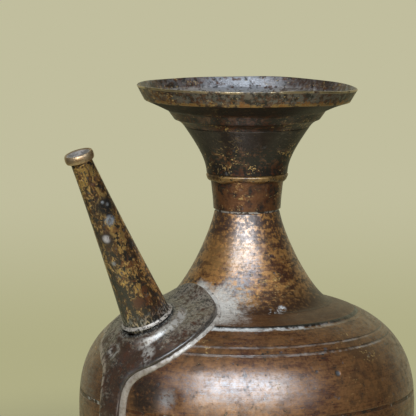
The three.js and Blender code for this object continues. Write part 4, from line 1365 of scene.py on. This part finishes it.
finish.lay(rising(lip_spots, 0.5, 0.62) * 0.75, (0.42, 0.25, 0.11), 0.9, 0.5)
lip_face = rising(finish.radius, LIP_DISH_RADIUS + 0.4, LIP_DISH_RADIUS - 0.4)
finish.lay(lip_face, (0.46, 0.41, 0.37), 0.3, 0.6)
finish.lay(lip_face * rising(lip_spots, 0.46, 0.58) * 0.75, (0.2, 0.18, 0.16), 0.4, 0.6)
finish.height = lip_spots * 0.4
lip = on_spout("lip_ring", lip_outline, finish.done(), wander=0.15, size=6.0)
lip_centre = Vector(spout_foot + spout_axis * (lip_foot + LIP_HEIGHT / 2)) * MM
lip_axis = Vector(spout_axis)
lip_turn = lip_axis.rotation_difference(lip_axis + Vector(LIP_LEAN)).to_matrix().to_4x4()
lip.data.transform(Matrix.Translation(lip_centre) @ lip_turn @ Matrix.Translation(-lip_centre))
fix(lip, "spout_lip")

# Studio: a pale floor, four soft lamps on the camera's side of the pot, and a plain olive surround.
# The lamps leave one pale highlight with wide skirts on the belly, and warm light low down.
CAMERA_AZIMUTH = -39.75
CAMERA_DISTANCE = 1.1
CAMERA_HEIGHT = 0.294
CAMERA_PITCH = 7.564
CAMERA_YAW = 0.897
CAMERA_LENS = 217.2
LAMP_DISTANCE = 1.3
LAMP_AIM = Vector((0, 0, 0.1))
# Each lamp: its name, degrees up and round from the camera's side, length, width, power and colour.
LAMPS = (
    ("key_lamp", 33.5, -4.0, 1.4, 0.84, 10.5, (0.77, 0.88, 1.0)),
    ("wide_glow", 32.0, -4.0, 3.0, 1.0, 7.5, (0.88, 0.94, 1.0)),
    ("key_core", 35.0, -3.0, 0.9, 0.3, 2.4, (0.72, 0.86, 1.0)),
    ("low_bounce", 10.0, -8.0, 1.3, 0.5, 2.4, (1.0, 0.82, 0.58)),
)
FLOOR_RADIUS = 0.45
FLOOR_PAINT = (0.85, 0.77, 0.45)
FLOOR_ROUGH = 0.8
BACKDROP = (0.533, 0.515, 0.342)
TABLE = (0.43, 0.418, 0.237)
HORIZON = (-0.19, -0.12)

azimuth = math.radians(CAMERA_AZIMUTH)
towards_camera = Vector((math.sin(azimuth), -math.cos(azimuth), 0))

bpy.ops.mesh.primitive_circle_add(vertices=96, radius=FLOOR_RADIUS, fill_type="NGON")
floor = bpy.context.object
floor.name = "floor"
finish = Finish("floor_paint", FLOOR_PAINT, 0.0, FLOOR_ROUGH)
floor_tree = finish.tree
floor_sockets = {"Base Color": finish.colour, "Roughness": finish.rough}
floor_paint = add(floor_tree, "ShaderNodeBsdfPrincipled", {}, floor_sockets)
floor_clear = add(floor_tree, "ShaderNodeBsdfTransparent")
floor_fade = rising(finish.radius * MM, FLOOR_RADIUS * 0.25, FLOOR_RADIUS * 0.8)
floor_surface = add(floor_tree, "ShaderNodeMixShader", {}, {0: floor_fade, 1: floor_paint, 2: floor_clear})
add(floor_tree, "ShaderNodeOutputMaterial", {}, {"Surface": floor_surface})
floor.data.materials.append(finish.material)

for name, elevation, turned, length, width, power, colour in LAMPS:
    lamp = bpy.data.lights.new(name, "AREA")
    lamp.shape = "RECTANGLE"
    lamp.size = length
    lamp.size_y = width
    lamp.energy = power
    lamp.color = colour
    tilt = math.radians(elevation)
    lamp_way = towards_camera * math.cos(tilt) + Vector((0, 0, math.sin(tilt)))
    lamp_way.rotate(Matrix.Rotation(math.radians(turned), 3, "Z"))
    stand = placed(name, lamp)
    stand.location = LAMP_AIM + lamp_way * LAMP_DISTANCE
    stand.rotation_euler = (-lamp_way).to_track_quat("-Z", "Y").to_euler()

world = bpy.data.worlds.new("olive_surround")
world.use_nodes = True
world.node_tree.nodes.clear()
sky = world.node_tree
ray = add(sky, "ShaderNodeTexCoord", out="Generated")
ray_height = add(sky, "ShaderNodeSeparateXYZ", {}, {0: ray}, 2)
level = rising(ray_height, *HORIZON)
sides = {0: level, 6: (*TABLE, 1), 7: (*BACKDROP, 1)}
surround = add(sky, "ShaderNodeMix", {"data_type": "RGBA"}, sides, 2)
behind = vector_math(sky, "DOT_PRODUCT", {0: ray, 1: -towards_camera}, "Value")
seen = add(sky, "ShaderNodeLightPath", out="Is Camera Ray")
mirrored = add(sky, "ShaderNodeLightPath", out="Is Glossy Ray").most(
    add(sky, "ShaderNodeLightPath", out="Is Transmission Ray")
)
room = rising(behind, 0.3, 0.95) * 0.95 + 0.05
strength = seen.most(room * (mirrored * 0.35 + 0.4))
light = add(sky, "ShaderNodeBackground", {}, {"Color": surround, "Strength": strength})
add(sky, "ShaderNodeOutputWorld", {}, {"Surface": light})
bpy.context.scene.world = world

camera_data = bpy.data.cameras.new("camera")
camera_data.lens = CAMERA_LENS
camera_data.sensor_width = 36.0
camera_data.clip_start = 0.05
camera = placed("camera", camera_data)
camera.location = towards_camera * CAMERA_DISTANCE + Vector((0, 0, CAMERA_HEIGHT))
gaze = -towards_camera
gaze.rotate(Matrix.Rotation(math.radians(CAMERA_YAW), 3, "Z"))
pitch = math.radians(CAMERA_PITCH)
gaze = gaze * math.cos(pitch) - Vector((0, 0, math.sin(pitch)))
camera.rotation_euler = gaze.to_track_quat("-Z", "Y").to_euler()
bpy.context.scene.camera = camera
bpy.context.scene.view_settings.view_transform = "Standard"
